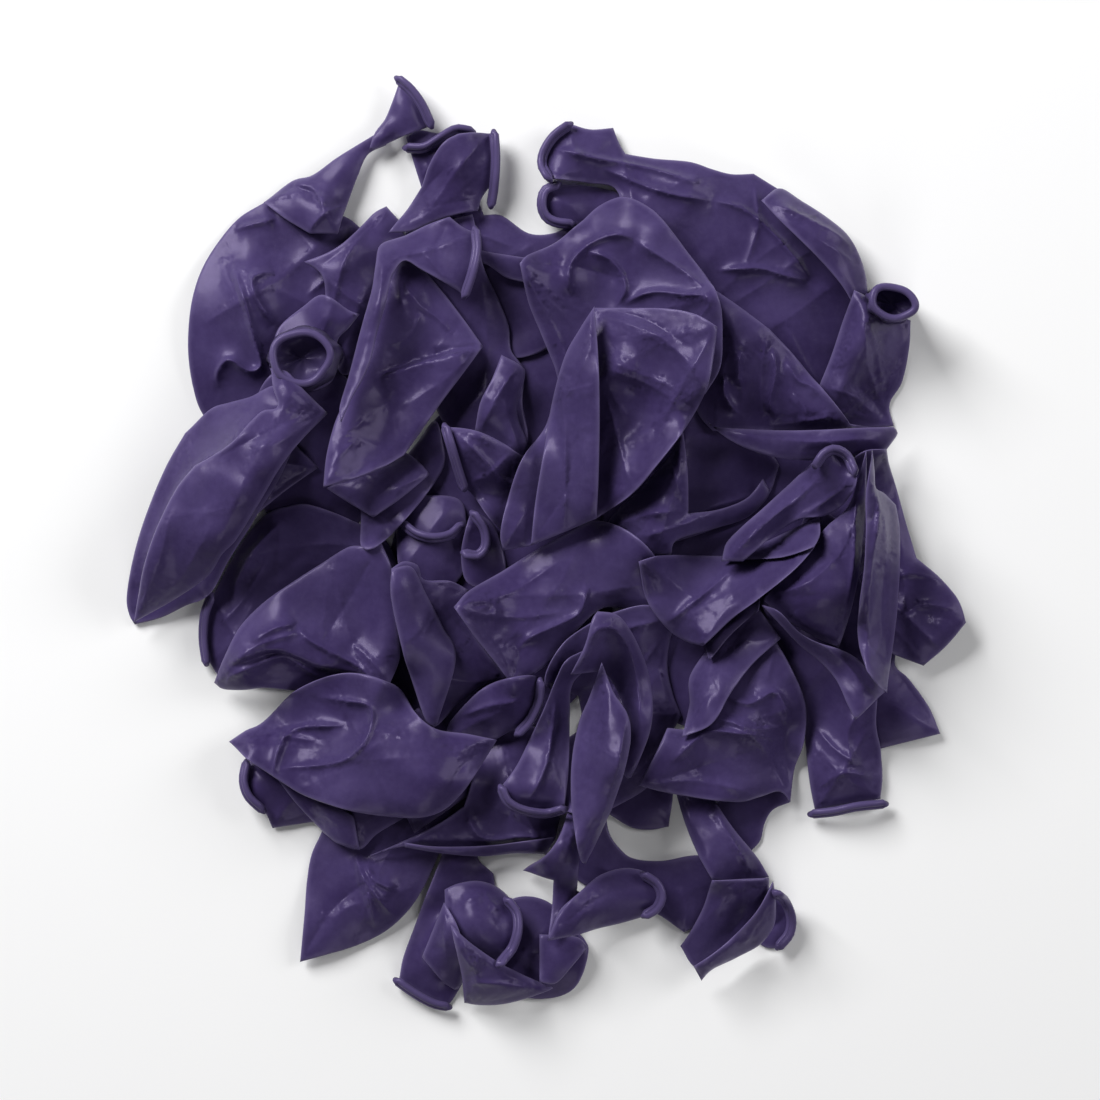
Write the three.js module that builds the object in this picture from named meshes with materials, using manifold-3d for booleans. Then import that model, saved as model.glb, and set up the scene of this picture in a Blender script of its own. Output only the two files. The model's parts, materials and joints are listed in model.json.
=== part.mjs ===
// A loose heap of uninflated 12 inch latex party balloons, as they lie when a bag of them is tipped out.
// Every balloon is one dipped latex bag: a pear-shaped body, a neck, and a rolled rim round the mouth.
// Lying empty, it is a folded double film that drapes over the balloons below it. Each balloon is one
// closed solid made of its folded layers, so its volume is the film and the air caught between the walls.
// Millimetres, +Z up. The origin is on the table, under the middle of the heap.
import * as THREE from "three";
import { mergeVertices } from "three/addons/utils/BufferGeometryUtils.js";
import Module from "manifold-3d";

// Driving dimensions.
const NECK_WIDTH = 25; // lay-flat width of a neck
const NECK_LENGTH = 36; // neck, from the body to the rolled rim
const RIM_WIDTH = 3; // across the rolled rim
const RIM_HEIGHT = 2.8;
const FLAT_EDGE = 1.9; // folded film at the edge of a layer
const LOFT = 4.4; // film and caught air in the middle of a layer
const LOFT_REACH = 14; // how far in from the edge the full loft is reached
const CLEARANCE = 0.4; // between one balloon and the next
const MAP_STEP = 20; // mesh of the height map that the layers drape on
const HEAP_HALF_X = 170;
const HEAP_HALF_Y = 180;
const EASE_PASSES = 2; // how far the film bridges the steps below it
const OUTLINE_STEP = 10; // chord of a curved outline
const MOUTH_WALL = 2.4; // rolled rim of a mouth that stands open

const C = 1; // a sharp corner of an outline; the other points lie on a smooth curve

// A neck tucked under its own body: where it starts, and the way that it points, in degrees.
const tuckedNeck = (x, y, heading) => {
  const a = THREE.MathUtils.degToRad(heading);
  const at = (along, across) => [
    x + along * Math.cos(a) - across * Math.sin(a),
    y + along * Math.sin(a) + across * Math.cos(a),
  ];
  const half = NECK_WIDTH / 2;
  return {
    outline: [
      [...at(0, -half - 3), C],
      at(NECK_LENGTH / 2, -half),
      [...at(NECK_LENGTH, -half + 1), C],
      [...at(NECK_LENGTH, half - 1), C],
      at(NECK_LENGTH / 2, half),
      [...at(0, half + 3), C],
    ],
    rim: [at(NECK_LENGTH, -half), at(NECK_LENGTH, half)],
  };
};

// The balloons from the lowest to the highest. Each lists its layers from its own lowest up.
// rim is the line of the rolled rim, and mouth is a rim that stands open, as a cup.
const BALLOONS = [
  {
    name: "balloon_under_centre",
    layers: [
      [[-50, 30, C], [-40, 44], [-22, 60], [-4, 74], [14, 62], [20, 34], [22, 8], [24, -26],
        [14, -52], [-4, -66], [-28, -70], [-48, -66], [-58, -46], [-60, -20], [-54, 4]],
    ],
  },
  {
    name: "balloon_under_right",
    layers: [
      [[28, 14], [46, 34], [70, 46], [96, 42], [109, 22], [106, -4], [90, -24], [74, -40],
        [66, -60], [52, -66], [43, -60], [42, -46, C], [38, -30], [26, -12]],
    ],
  },
  {
    name: "balloon_top_behind",
    layers: [
      [[-50, 146, C], [-45, 148.5], [-38, 147.5], [-31, 149.5], [-26, 147.5, C], [-27, 137], [-24, 124],
        [-22, 118, C], [-15.5, 117.8], [-6, 111.5], [3, 111.5], [12, 115], [18, 108], [16, 90], [4, 72],
        [-12, 66], [-26, 70], [-38, 84], [-40, 100], [-36, 114], [-40, 124], [-44.5, 128, C], [-47, 136]],
      [[-30, 108, C], [-22, 104.5], [-6, 102, C], [-6, 93, C], [-14, 95], [-22, 100], [-30, 98, C]],
    ],
    rim: [[-49, 142], [-43, 142], [-38, 145], [-32, 148.5], [-27, 148]],
  },
  {
    name: "balloon_upper_left",
    layers: [
      [[-101, 122.5, C], [-110, 117], [-117, 109], [-123, 99], [-126.5, 88], [-128, 76], [-128, 66],
        [-126.5, 56], [-123.5, 47], [-115, 36], [-102, 30], [-88, 33], [-76, 45], [-68, 62], [-64, 80],
        [-64, 98], [-66, 113, C], [-71, 117], [-80, 120], [-92, 123]],
      [[-101, 122.3, C], [-91, 130], [-83.5, 132], [-75, 138], [-68, 142.5], [-61, 147], [-58, 150, C],
        [-57, 143, C], [-63.5, 139.5], [-67, 132], [-70, 124], [-72, 118, C], [-74, 110.5, C],
        [-84, 110.5, C], [-93, 116]],
      [[-63, 141, C], [-61, 147], [-57.5, 152], [-54.5, 159], [-52.5, 165, C], [-46, 158], [-41, 150, C],
        [-45, 148], [-53, 145], [-60, 141.5]],
    ],
    rim: [[-52, 166], [-48, 162.5], [-44, 157], [-41, 150.5]],
  },
  {
    name: "balloon_open_mouth_left",
    layers: [
      [[-100, 58], [-86, 66], [-72, 60], [-62, 44], [-60, 24], [-68, 6], [-82, 2], [-96, 6], [-104, 20],
        [-105, 42]],
      [[-86, 100.5, C], [-77, 104], [-70, 109], [-62, 118], [-57, 121, C], [-52, 115.5, C], [-50, 108],
        [-50, 96], [-52, 84], [-60, 72], [-72, 60], [-78, 76], [-79, 94]],
      [[-97.5, 68], [-95, 77], [-86.5, 84.5], [-79, 88.5], [-70, 83], [-66, 81.5, C], [-70, 76.5],
        [-74, 72], [-74, 62], [-78, 56], [-86, 54], [-94, 57], [-98, 62]],
    ],
    mouth: { at: [-86, 65], half: [10.5, 9.5], turn: 0, height: 7, depth: 5 },
  },
  {
    name: "balloon_top_left",
    layers: [
      [[-50, 112, C], [-26, 118, C], [-24, 110], [-22, 99], [-17, 88], [-13, 78], [-12, 69], [-7.5, 62],
        [-8, 50], [-6, 38], [-8, 30], [-18, 26], [-30, 34], [-40, 50], [-46, 70], [-50, 90]],
      [[-31, 146, C], [-25, 146.8], [-19, 147, C], [-18.5, 135], [-19, 129, C], [-22.5, 124], [-24, 119, C],
        [-33, 117], [-41, 114.3], [-48, 111.5], [-56, 111, C], [-50, 119], [-44, 128, C], [-41, 136],
        [-36, 143]],
      [[-25, 40, C], [-23, 50], [-19, 58], [-15.5, 67, C], [-9, 63.5], [-7, 60], [-10, 47], [-6.5, 36],
        [-8, 30, C], [-16, 34]],
    ],
    rim: [[-18, 146], [-17.5, 138], [-18, 129], [-19, 122]],
  },
  {
    name: "balloon_centre_back",
    layers: [
      [[16, 112], [34, 118], [44, 100], [56, 80], [66, 58], [78, 38], [84, 28, C], [80, 17], [70, 9],
        [58, 4], [46, 0], [34, -6, C], [21.5, 5, C], [18, 22], [12, 44], [10, 70], [10, 92]],
      [[3, 128.5], [-1, 125], [-1.5, 120], [2, 116], [9, 113.7], [16, 114], [30, 108], [36, 112],
        [34, 122], [27, 126], [15, 128.5]],
      [[21.5, 5, C], [25, 11], [36, 22], [44, 31], [49, 41, C], [50.5, 25], [51, 10.5, C], [62, 12],
        [72, 16], [78, 23, C], [80, 17], [72, 9], [60, 5], [47, 1], [45, -4.3, C], [38, -4.5], [33, -6, C]],
    ],
    rim: [[4, 128], [0, 126], [-1, 121], [0.5, 117], [4, 115], [9, 114.3]],
  },
  {
    name: "balloon_upper_right",
    layers: [
      [[0, 130, C], [-2.5, 135], [-1.5, 141], [3, 147], [9, 150.5, C], [16, 148.5],
        [24.5, 149.2, C], [27, 143], [29, 139.8, C], [40, 138], [52, 136.8], [60, 134.2],
        [67, 132.5], [75, 132.8, C], [82, 128.5], [91, 123], [100, 117], [108, 110.5], [113, 102],
        [115.2, 93], [115, 84], [112.5, 72], [108, 60], [103.5, 52, C], [92, 44], [76, 44],
        [60, 54], [48, 72], [38, 94], [28, 108], [26, 126], [15, 129]],
      [[77, 122, C], [84, 127], [92, 122.5], [101, 116.5], [108.5, 110], [113, 102], [115.2, 93],
        [115, 84], [112.5, 72], [108, 60], [103.5, 52, C], [109, 64], [112, 78], [108, 88], [101, 97],
        [92, 106], [84, 114]],
    ],
    rim: [[1, 130.5], [-1.2, 135], [-0.5, 140], [3, 145.5], [8, 149.3]],
  },
  {
    name: "balloon_right_folded",
    layers: [
      [[110, 90, C], [131.5, 80, C], [131, 70], [128.5, 58], [124, 50], [125.5, 42, C],
        [100, 40, C], [98, 56, C], [102, 66], [106, 78]],
      [[59, 91, C], [70, 83.5], [80, 76, C], [88, 68], [98, 56], [109, 42.5, C], [125.5, 40.5, C],
        [60, 40, C], [55, 46], [52, 56], [56, 68], [60, 80]],
      [[58, 43.5, C], [62, 41], [90, 40], [124.5, 41.5, C], [126, 39], [122, 33.5, C], [117, 31],
        [106, 30], [95, 29.3], [82, 30.3], [70, 34], [62, 39]],
    ],
    mouth: { at: [123.5, 84], half: [9, 6.6], turn: -20, height: 7, depth: 5 },
  },
  {
    name: "balloon_lower_left_tip",
    layers: [
      tuckedNeck(-58, -88, 100),
      [[-80, -103], [-84, -112], [-85.7, -122], [-86.5, -135], [-88, -150.5, C], [-79, -148],
        [-68, -144.8], [-58, -140], [-50, -133], [-44, -124.5], [-39, -114], [-36, -104], [-38, -88],
        [-50, -78], [-66, -80], [-76, -90]],
    ],
  },
  {
    name: "balloon_bottom_left",
    layers: [
      [[-52.5, -157, C], [-44, -162.5], [-35, -166.5, C], [-33, -164], [-30, -159, C], [-27, -148],
        [-22, -136], [-18, -126], [-18.5, -119, C], [-24, -112], [-10, -104], [-4, -92], [-10, -76],
        [-26, -70], [-40, -76], [-46, -90], [-42, -104], [-37, -112, C], [-42.5, -126], [-47, -138],
        [-51, -149]],
    ],
    rim: [[-52.5, -157.5], [-46, -162], [-40, -165.2], [-35.5, -166.2]],
  },
  {
    name: "balloon_bottom_centre",
    layers: [
      [[-12, -128], [1, -129], [14, -142, C], [15.7, -146], [13.5, -155], [9.5, -161], [2, -163.8],
        [-8, -163.5], [-20, -160], [-26, -150], [-22, -138]],
      [[-36, -124, C], [-31, -121.8], [-24, -121], [-17, -123.5], [-11.5, -129], [-9, -136],
        [-10.5, -143], [-15, -149.5], [-22, -152], [-30, -148], [-35, -138]],
      [[-36, -128, C], [-40, -138], [-44, -148, C], [-36, -158, C], [-31, -160], [-28, -148], [-31, -136]],
      [[-33.5, -135, C], [-24, -143.5], [-12, -152], [1, -158.7, C], [3, -159.5], [-4, -162.5],
        [-14, -165.3], [-24, -165.8], [-29, -165, C], [-30, -152]],
      [[-2, -140, C], [11, -141], [15.3, -144.5, C], [10, -151], [4, -157.5], [-2, -157, C]],
    ],
    rim: [[-13, -128], [-10, -132], [-9.5, -138], [-11.5, -144.5], [-15.5, -149]],
  },
  {
    name: "balloon_left_low",
    layers: [
      [[-107.5, -79, C], [-108.5, -86], [-106, -92], [-101, -96], [-98, -102.5, C], [-90, -101.3],
        [-82, -100.5], [-79, -103.5, C], [-74, -107.5], [-66, -109.5], [-60, -104], [-50, -98],
        [-40, -90], [-44, -76], [-60, -68], [-80, -70], [-96, -76]],
      [[-96, -84, C], [-90, -92], [-84, -99], [-79, -104, C], [-74, -107.5], [-66, -109.5, C],
        [-68, -97, C], [-80, -90]],
    ],
    rim: [[-107, -79.5], [-107.8, -85], [-106, -90.5], [-101.5, -95]],
  },
  {
    name: "balloon_low_fold",
    layers: [
      tuckedNeck(-34, -95, 125),
      [[-64.5, -112.5, C], [-50, -106], [-38, -100], [-29, -94, C], [-27, -88], [-24, -78],
        [-18, -68, C], [-4, -66], [2, -76], [6, -92], [4, -105, C], [0.5, -111.5, C],
        [-10, -111.2], [-22, -112.3], [-36, -110.8], [-50, -108.3]],
      [[-50, -106.5, C], [-38, -108], [-20, -108], [-5, -106], [4, -105, C], [0.5, -111.5, C],
        [-10, -111.2], [-22, -112.3], [-36, -110.8], [-50, -108.3, C]],
    ],
  },
  {
    name: "balloon_bottom_right",
    layers: [
      [[5, -104], [14, -96], [22, -96, C], [23, -104], [27, -110], [32, -113.5], [42, -114.3],
        [55, -112.3], [64, -116], [66, -126], [58, -136], [50, -140, C], [39, -132.8], [24, -128],
        [8, -118]],
      [[70, -86, C], [88, -86, C], [88, -93.3, C], [82, -96], [79, -101], [77.5, -107], [74, -111, C],
        [66, -104], [62, -94]],
      [[46, -86, C], [50, -100], [54.5, -111], [59.5, -120, C], [70, -122], [80.5, -120, C],
        [76, -112.5], [67, -101.5], [58, -88, C]],
      [[59.5, -120, C], [57, -130], [52, -140], [48.7, -145, C], [54, -152.5], [62, -149], [73, -140], [80, -128],
        [80.5, -120, C]],
      [[81, -123.5, C], [86.5, -127.5], [89.5, -134], [89, -140], [85, -145.3], [80, -145.7],
        [76, -143.5, C], [76, -134]],
      [[81, -120, C], [74.5, -131.5], [65, -142], [53, -151, C], [56, -156.7, C], [60, -152.5],
        [68, -149], [77, -144], [82, -136], [82, -126]],
    ],
    rim: [[82.5, -124.5], [86, -128], [88.5, -134], [88, -140], [84.5, -144.5]],
  },
  {
    name: "balloon_bottom_middle",
    layers: [
      [[30, -56], [40, -58], [44, -68], [46, -89.5, C], [44.5, -102, C], [38, -103.2], [31, -102.3],
        [23, -97.5, C], [18, -84], [22, -68]],
      [[24, -78, C], [12, -84], [8, -96], [5, -104], [0, -111], [-8, -117.5, C], [3, -120.5, C],
        [2.5, -130], [1, -141.3, C], [14, -128], [11.5, -124.5, C], [12.3, -112], [14, -102], [24, -96, C]],
      [[1, -141.3, C], [5, -131], [12, -124.5], [20, -118.5], [29, -116.3], [37, -118.3],
        [42.3, -123.5], [42, -129], [38, -133], [30, -135.6], [22, -137.5], [10, -140]],
    ],
    rim: [[36, -118.8], [40, -121.5], [41.8, -126], [40, -130.5], [36.5, -132.8]],
  },
  {
    name: "balloon_far_right",
    layers: [
      tuckedNeck(104, -8, 195),
      [[104, -28], [118, -28], [126, -36], [126, -44], [131, -49], [138, -59], [142, -68.5, C], [132, -71],
        [120.7, -74, C], [112, -72], [104, -60]],
      [[112, 32], [121.5, 33.5, C], [125.5, 22], [129, 9], [133, -5.3, C], [141, -12], [147, -19],
        [149.3, -24], [150.5, -28.5, C], [143.5, -37], [135.7, -44, C], [124, -39.5], [108, -32],
        [98, -16], [98, 6], [104, 22]],
    ],
  },
  {
    name: "balloon_left_middle",
    layers: [
      [[-100, 10.5], [-92, 13.2], [-86, 14], [-78, 11.8], [-69, 8], [-58, 2], [-52, -12], [-54, -34],
        [-66, -48], [-90, -52], [-112, -50], [-117.5, -48, C], [-120.5, -43.3, C], [-122, -36],
        [-121.5, -24], [-119.5, -19, C], [-114, -8], [-108, 2]],
      [[-58, 0, C], [-64, -1], [-70, -1.5], [-80, -7.5], [-90, -14], [-100, -21], [-108, -29],
        [-113, -38], [-118.5, -50, C], [-115.5, -52.3], [-108, -52.6], [-100, -51.8], [-90, -52.8],
        [-80, -53.7], [-70, -52.4], [-60, -52.6], [-55, -50, C], [-51.5, -40], [-52.5, -24], [-54, -10]],
    ],
    rim: [[-120, -20], [-122, -26], [-122.5, -34], [-121.5, -42]],
  },
  {
    name: "balloon_centre_left",
    layers: [
      [[-52, 14], [-40, 17], [-30, 15], [-28, 4], [-30, -12], [-42, -20], [-52, -8]],
      [[-54, -9, C], [-50, -6.5], [-45, -8], [-43, -13], [-34, -13.5], [-27, -17, C], [-26, -30],
        [-20, -40], [-12, -49, C], [-20, -50], [-30, -57], [-38, -65, C], [-41, -65.5], [-45, -57],
        [-49, -45], [-52, -30], [-54.5, -18]],
      [[-54, -9, C], [-47, -8.5], [-42, -18], [-36, -30], [-31.5, -41], [-38.5, -65, C], [-42, -64],
        [-47, -50], [-51, -35], [-54, -20]],
    ],
    rim: [[-50, 6.5], [-46, 3.5], [-40, 2], [-34, 3], [-30.5, 6]],
  },
  {
    name: "balloon_centre_slab",
    layers: [
      [[-26, 12, C], [-20, 8], [-17, 4], [-14, -10], [-20, -16], [-28, -14], [-30, -4], [-28, 6]],
      [[-32, -22.5, C], [-27, -17], [-16, -10.5], [-4, -3], [8, 3.5], [18, 8], [30, 4], [40, -6],
        [44, -18], [40, -30], [30, -25], [22, -23], [16, -26.5], [9, -34], [2, -42], [-6, -48],
        [-12, -50, C], [-19, -40.5], [-26.5, -30.5]],
    ],
    rim: [[-25, 10], [-21.5, 5], [-21, -1], [-24, -4.5], [-28, -4]],
  },
  {
    name: "balloon_left_leaf",
    layers: [
      [[-34.5, -64.5, C], [-28, -57], [-21, -51], [-12, -47.5], [-4, -47], [-0.5, -50, C], [-1, -57],
        [-4.5, -64], [-8.5, -69, C], [-11, -66.5, C], [-17, -70, C], [-27, -72], [-36, -72]],
      [[-113, -71, C], [-107, -67], [-101, -64], [-88, -52], [-70, -46], [-54, -50], [-46, -60],
        [-38, -66], [-27, -67.8], [-17, -70, C], [-22, -78], [-28.5, -87.5], [-35, -94], [-42, -96.8],
        [-52, -97.2], [-64, -95.7], [-75, -93], [-86, -89.5], [-95, -84], [-105, -77.5]],
    ],
    rim: [[-1.5, -50], [-2, -56], [-5, -63], [-9, -67.5]],
  },
  {
    name: "balloon_centre_arch",
    layers: [
      [[20, -26, C], [36, -22], [48, -26, C], [45, -34], [44, -44], [46, -54], [49, -62, C],
        [44, -72], [40, -84], [30, -92], [16, -97], [2, -92], [2, -76], [14, -66, C], [12, -55, C],
        [0, -50], [6, -36]],
      [[14, -38, C], [7.5, -41.5], [4, -48], [0, -58], [-5, -69], [-10, -79], [-15.5, -86.5, C],
        [-13.5, -92], [-8, -95], [0, -96.5], [7, -94, C], [8.5, -80], [9, -62], [10, -50], [18, -42]],
      [[9, -46.5, C], [14, -36], [16.5, -27], [18.5, -24, C], [25, -25], [29, -29], [33, -36],
        [36.5, -45], [38.3, -56], [37.5, -66], [34, -76], [30, -84], [27, -78], [30, -66], [28, -58],
        [24, -50], [20, -46]],
      [[20, -42, C], [24.5, -53], [29, -60], [30.2, -68], [28, -80], [24, -93], [19.5, -104],
        [14.5, -114, C], [12.5, -112], [10.5, -102], [9.2, -90], [9.5, -77], [12, -64], [16, -54]],
    ],
    rim: [[-15, -87.5], [-13, -91.5], [-8, -94.5], [0, -96], [6, -94.5]],
  },
  {
    name: "balloon_right_low",
    layers: [
      [[77, -21.5, C], [86, -10], [98, -2], [110, -8], [117, -28], [119, -48], [118.5, -64],
        [120.5, -74], [121.3, -84], [120.5, -92, C], [108, -94], [97, -96, C], [95, -86], [93.6, -72],
        [93, -57], [86.5, -42], [80, -30]],
    ],
    rim: [[96.5, -97], [104, -96], [112, -94.2], [121, -93.5]],
  },
  {
    name: "balloon_right_bowl",
    layers: [
      tuckedNeck(67, -51, 268),
      [[80, -31, C], [71, -39], [63, -49.5], [58, -60], [54.5, -65], [50, -66.3], [43.5, -65.7, C],
        [39, -75], [33, -86, C], [41, -88.3], [51, -90.3], [61, -91.8], [70, -92.5], [77, -90.8],
        [84, -89], [88, -93, C], [89.5, -82], [93, -70], [93, -57], [87, -43]],
      [[76, -23, C], [62, -34], [52, -47], [51.5, -58], [48.5, -69, C], [59, -64], [66, -53], [74, -43],
        [84, -34, C]],
    ],
  },
  {
    name: "balloon_left_diagonal",
    layers: [
      tuckedNeck(-92, 38, 225),
      [[-95, 56], [-105, 52.3], [-113, 50.3], [-120, 48], [-129.5, 39.5, C], [-136, 28], [-141.5, 15],
        [-146, 2], [-149, -10], [-150.5, -20], [-149.5, -26], [-147.5, -29.3, C], [-138, -26.8],
        [-129, -22.5], [-120, -18.5], [-113, -6], [-104, 8], [-94, 24], [-88, 38], [-84, 48]],
      [[-123.5, 27.3, C], [-117, 30.8], [-109, 36], [-104, 42], [-99.5, 46.5], [-94, 48], [-96, 55],
        [-97, 62, C], [-91, 60.5], [-85, 54], [-77, 46, C], [-86, 36], [-94, 24.5], [-101, 13],
        [-109, 1], [-114, -4], [-120, -12], [-132, -20], [-147, -28.3, C], [-144.5, -17], [-141, -5],
        [-136, 8], [-130, 19.5]],
    ],
  },
  {
    name: "balloon_upper_centre_left",
    layers: [
      [[-66, 12, C], [-65.5, 0], [-63, -2.7, C], [-59, -1], [-50, 8], [-41.5, 18.5], [-36, 28],
        [-36.5, 36], [-39.5, 44], [-46, 36],
        [-56, 24]],
      [[-78, 19.5, C], [-70, 14.3], [-61, 9, C], [-51, 16], [-41, 24.5, C], [-45, 29], [-50.5, 33, C],
        [-60, 30]],
      [[-51, 103, C], [-44, 98], [-36, 89], [-28, 78.5], [-22, 70, C], [-29, 60], [-37, 49.5],
        [-44, 39.5], [-50, 31, C], [-58, 26.3], [-68, 22.3], [-78, 19.5, C], [-76, 31], [-72, 43],
        [-66, 54], [-60, 68], [-56, 82], [-53, 94]],
      [[-58.5, 106], [-50, 109.5], [-42, 113.5], [-34, 116.3, C], [-29, 112.5], [-24.5, 110.5, C],
        [-24, 104], [-26, 95], [-28.5, 88, C], [-36, 92.5], [-44, 97], [-50, 100], [-54, 94], [-56, 84],
        [-59, 74], [-62, 62], [-68, 50], [-71.5, 42, C], [-72, 48], [-69, 60], [-65.5, 74],
        [-61.5, 88], [-60, 98]],
    ],
    rim: [[-24.5, 110.5], [-24, 104], [-25.5, 96], [-28, 88.5]],
  },
  {
    name: "balloon_centre_top",
    layers: [
      [[-36, 41.3, C], [-29, 40.8], [-22, 39], [-14, 35], [-7, 30.5], [6, 26], [8, 14], [-4, 6],
        [-16, 5, C], [-20, 9], [-25.5, 17, C], [-28.5, 19.5, C], [-31, 29]],
      [[-9, 99, C], [-6, 102.3], [3, 107], [12, 114], [19, 120.5], [26, 123.5], [32, 122.5], [39, 118],
        [45, 111], [52, 101.5], [58, 93], [61.8, 84], [62.7, 73], [62, 62], [57, 53, C], [44, 48],
        [24, 46], [8, 52], [3, 64], [-2, 76], [-6, 86]],
      [[17.5, 83.7, C], [30, 83.2], [44, 82.3], [53, 80], [60.3, 75.5, C], [59, 65], [57, 55],
        [53, 46], [47.5, 37.5], [40, 28], [31, 17.5], [18.3, 8.7, C], [6, 3.5], [-5, -1, C],
        [-14.8, -2.7, C], [-15.8, 4], [-12.5, 18], [-8, 30], [0, 41.5], [3.5, 54], [7, 66], [12.5, 76]],
      [[17.5, 83.7, C], [18.8, 65], [19.3, 45], [19, 25], [18.3, 8.7, C], [6, 3.5], [-5, -1, C],
        [-3.5, 14], [-0.5, 32], [2.5, 50], [7, 66], [12.5, 76]],
    ],
    rim: [[-35, 40.5], [-33, 34], [-31, 27], [-29, 20.5]],
  },
  {
    name: "balloon_right_upright",
    layers: [
      tuckedNeck(108, 6, 236),
      [[77, -20, C], [84, -12], [92, -3], [100, 6], [108, 14], [113, 33, C], [114, 10], [112, -4],
        [109, -20], [106.5, -30], [104.3, -37.3, C], [95, -33], [85, -27]],
      [[76, -21.7, C], [82, -24], [89, -31], [96, -35], [104, -37.5], [112, -42], [121, -53, C],
        [116, -57], [109.8, -62.7, C], [107, -57], [103.5, -49], [98, -42.5], [90, -36], [84, -30]],
      [[114.5, 33, C], [115.5, 25], [116, 19.5], [120, 17.5], [124.5, 13.5, C], [126, 4],
        [126.3, -12], [125.2, -28], [123, -43], [121, -53, C], [116.5, -49.5], [113, -45, C],
        [110.8, -36], [110, -22], [111.5, -8], [112, 6], [112, 18]],
    ],
  },
  {
    name: "balloon_right_tube",
    layers: [
      [[55.5, -34, C], [66, -25], [76, -18, C], [75.5, -24, C], [66, -33], [58.5, -41.8, C]],
      [[33, -6.5, C], [39, -4.7], [46, -4.3], [58, -4.5], [70, -4.7], [84, -4], [94, -1.7], [97, 1, C],
        [88, -9], [76, -19], [66, -27], [56, -36.5, C], [50, -35], [43, -30], [36, -20]],
      [[80, 1, C], [97.5, 9.5, C], [97, 3], [94.5, -1.5, C], [84, -5], [70, -6], [62.5, -6.5, C],
        [70, -2]],
      [[62.5, -6.5, C], [64.5, 0], [70, 6], [78, 13], [87, 21], [95, 29], [99, 32.5], [104, 33],
        [108.3, 28.5], [109.3, 21], [106, 14], [99, 9.5], [91, 8.5], [82, 3.5], [70, -6.5, C]],
    ],
    rim: [[95.5, 28], [98, 31.5], [102, 33], [106.5, 30.5], [108.5, 25.5]],
  },
];

const LATEX = new THREE.MeshStandardMaterial({ color: 0x463a66, roughness: 0.38, metalness: 0 });

const wasm = await Module();
wasm.setup();

// ---- The height map: one value for each node of a square mesh, all cells cut on the same diagonal.

const COLUMNS = Math.round((2 * HEAP_HALF_X) / MAP_STEP) + 1;
const ROWS = Math.round((2 * HEAP_HALF_Y) / MAP_STEP) + 1;
const nodeX = (i) => i * MAP_STEP - HEAP_HALF_X;
const nodeY = (j) => j * MAP_STEP - HEAP_HALF_Y;
const nodeAt = (i, j) => j * COLUMNS + i;

// A closed outline as points: smooth curves between the corners.
function outlinePoints(marks) {
  const first = Math.max(0, marks.findIndex((m) => m[2]));
  const turned = [...marks.slice(first), ...marks.slice(0, first)];
  const hasCorner = Boolean(turned[0][2]);
  const runs = [];
  let run = [];
  for (const [x, y, corner] of [...turned, turned[0]]) {
    run.push(new THREE.Vector3(x, y, 0));
    if (corner && run.length > 1) {
      runs.push(run);
      run = [run.at(-1)];
    }
  }
  if (!hasCorner) runs.push(run);
  const points = [];
  for (const stretch of runs) {
    const loop = !hasCorner;
    const through = loop ? stretch.slice(0, -1) : stretch;
    const curve = new THREE.CatmullRomCurve3(through, loop, "centripetal");
    const steps = Math.max(through.length > 2 ? 2 : 1, Math.round(curve.getLength() / OUTLINE_STEP));
    points.push(...curve.getSpacedPoints(steps).slice(0, -1));
  }
  const outline = points.map((p) => new THREE.Vector2(p.x, p.y));
  return THREE.ShapeUtils.area(outline) < 0 ? outline.reverse() : outline;
}

function isInside(outline, x, y) {
  let inside = false;
  for (let i = 0, j = outline.length - 1; i < outline.length; j = i, i += 1) {
    const a = outline[i];
    const b = outline[j];
    if (a.y > y !== b.y > y && x < a.x + ((y - a.y) / (b.y - a.y)) * (b.x - a.x)) inside = !inside;
  }
  return inside;
}

function distanceToEdge(outline, x, y) {
  const point = new THREE.Vector3(x, y, 0);
  const nearest = new THREE.Vector3();
  let least = Infinity;
  outline.forEach((a, i) => {
    const b = outline[(i + 1) % outline.length];
    const side = new THREE.Line3(new THREE.Vector3(a.x, a.y, 0), new THREE.Vector3(b.x, b.y, 0));
    side.closestPointToPoint(point, true, nearest);
    least = Math.min(least, nearest.distanceTo(point));
  });
  return least;
}

// The nodes of every cell that an outline touches.
function touchedNodes(outline) {
  const cells = new Set();
  const mark = (x, y) => {
    const i = Math.floor((x + HEAP_HALF_X) / MAP_STEP);
    const j = Math.floor((y + HEAP_HALF_Y) / MAP_STEP);
    cells.add(nodeAt(i, j));
  };
  const probe = MAP_STEP / 6;
  outline.forEach((a, k) => {
    const b = outline[(k + 1) % outline.length];
    const steps = Math.ceil((a.distanceTo(b) / probe) * 4);
    for (let s = 0; s <= steps; s += 1) {
      mark(a.x + ((b.x - a.x) * s) / steps, a.y + ((b.y - a.y) * s) / steps);
    }
  });
  for (let j = 0; j < ROWS - 1; j += 1) {
    for (let i = 0; i < COLUMNS - 1; i += 1) {
      if (isInside(outline, nodeX(i) + MAP_STEP / 2, nodeY(j) + MAP_STEP / 2)) cells.add(nodeAt(i, j));
    }
  }
  const nodes = new Set();
  for (const cell of cells) {
    for (const n of [cell, cell + 1, cell + COLUMNS, cell + COLUMNS + 1]) nodes.add(n);
  }
  return nodes;
}

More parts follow.
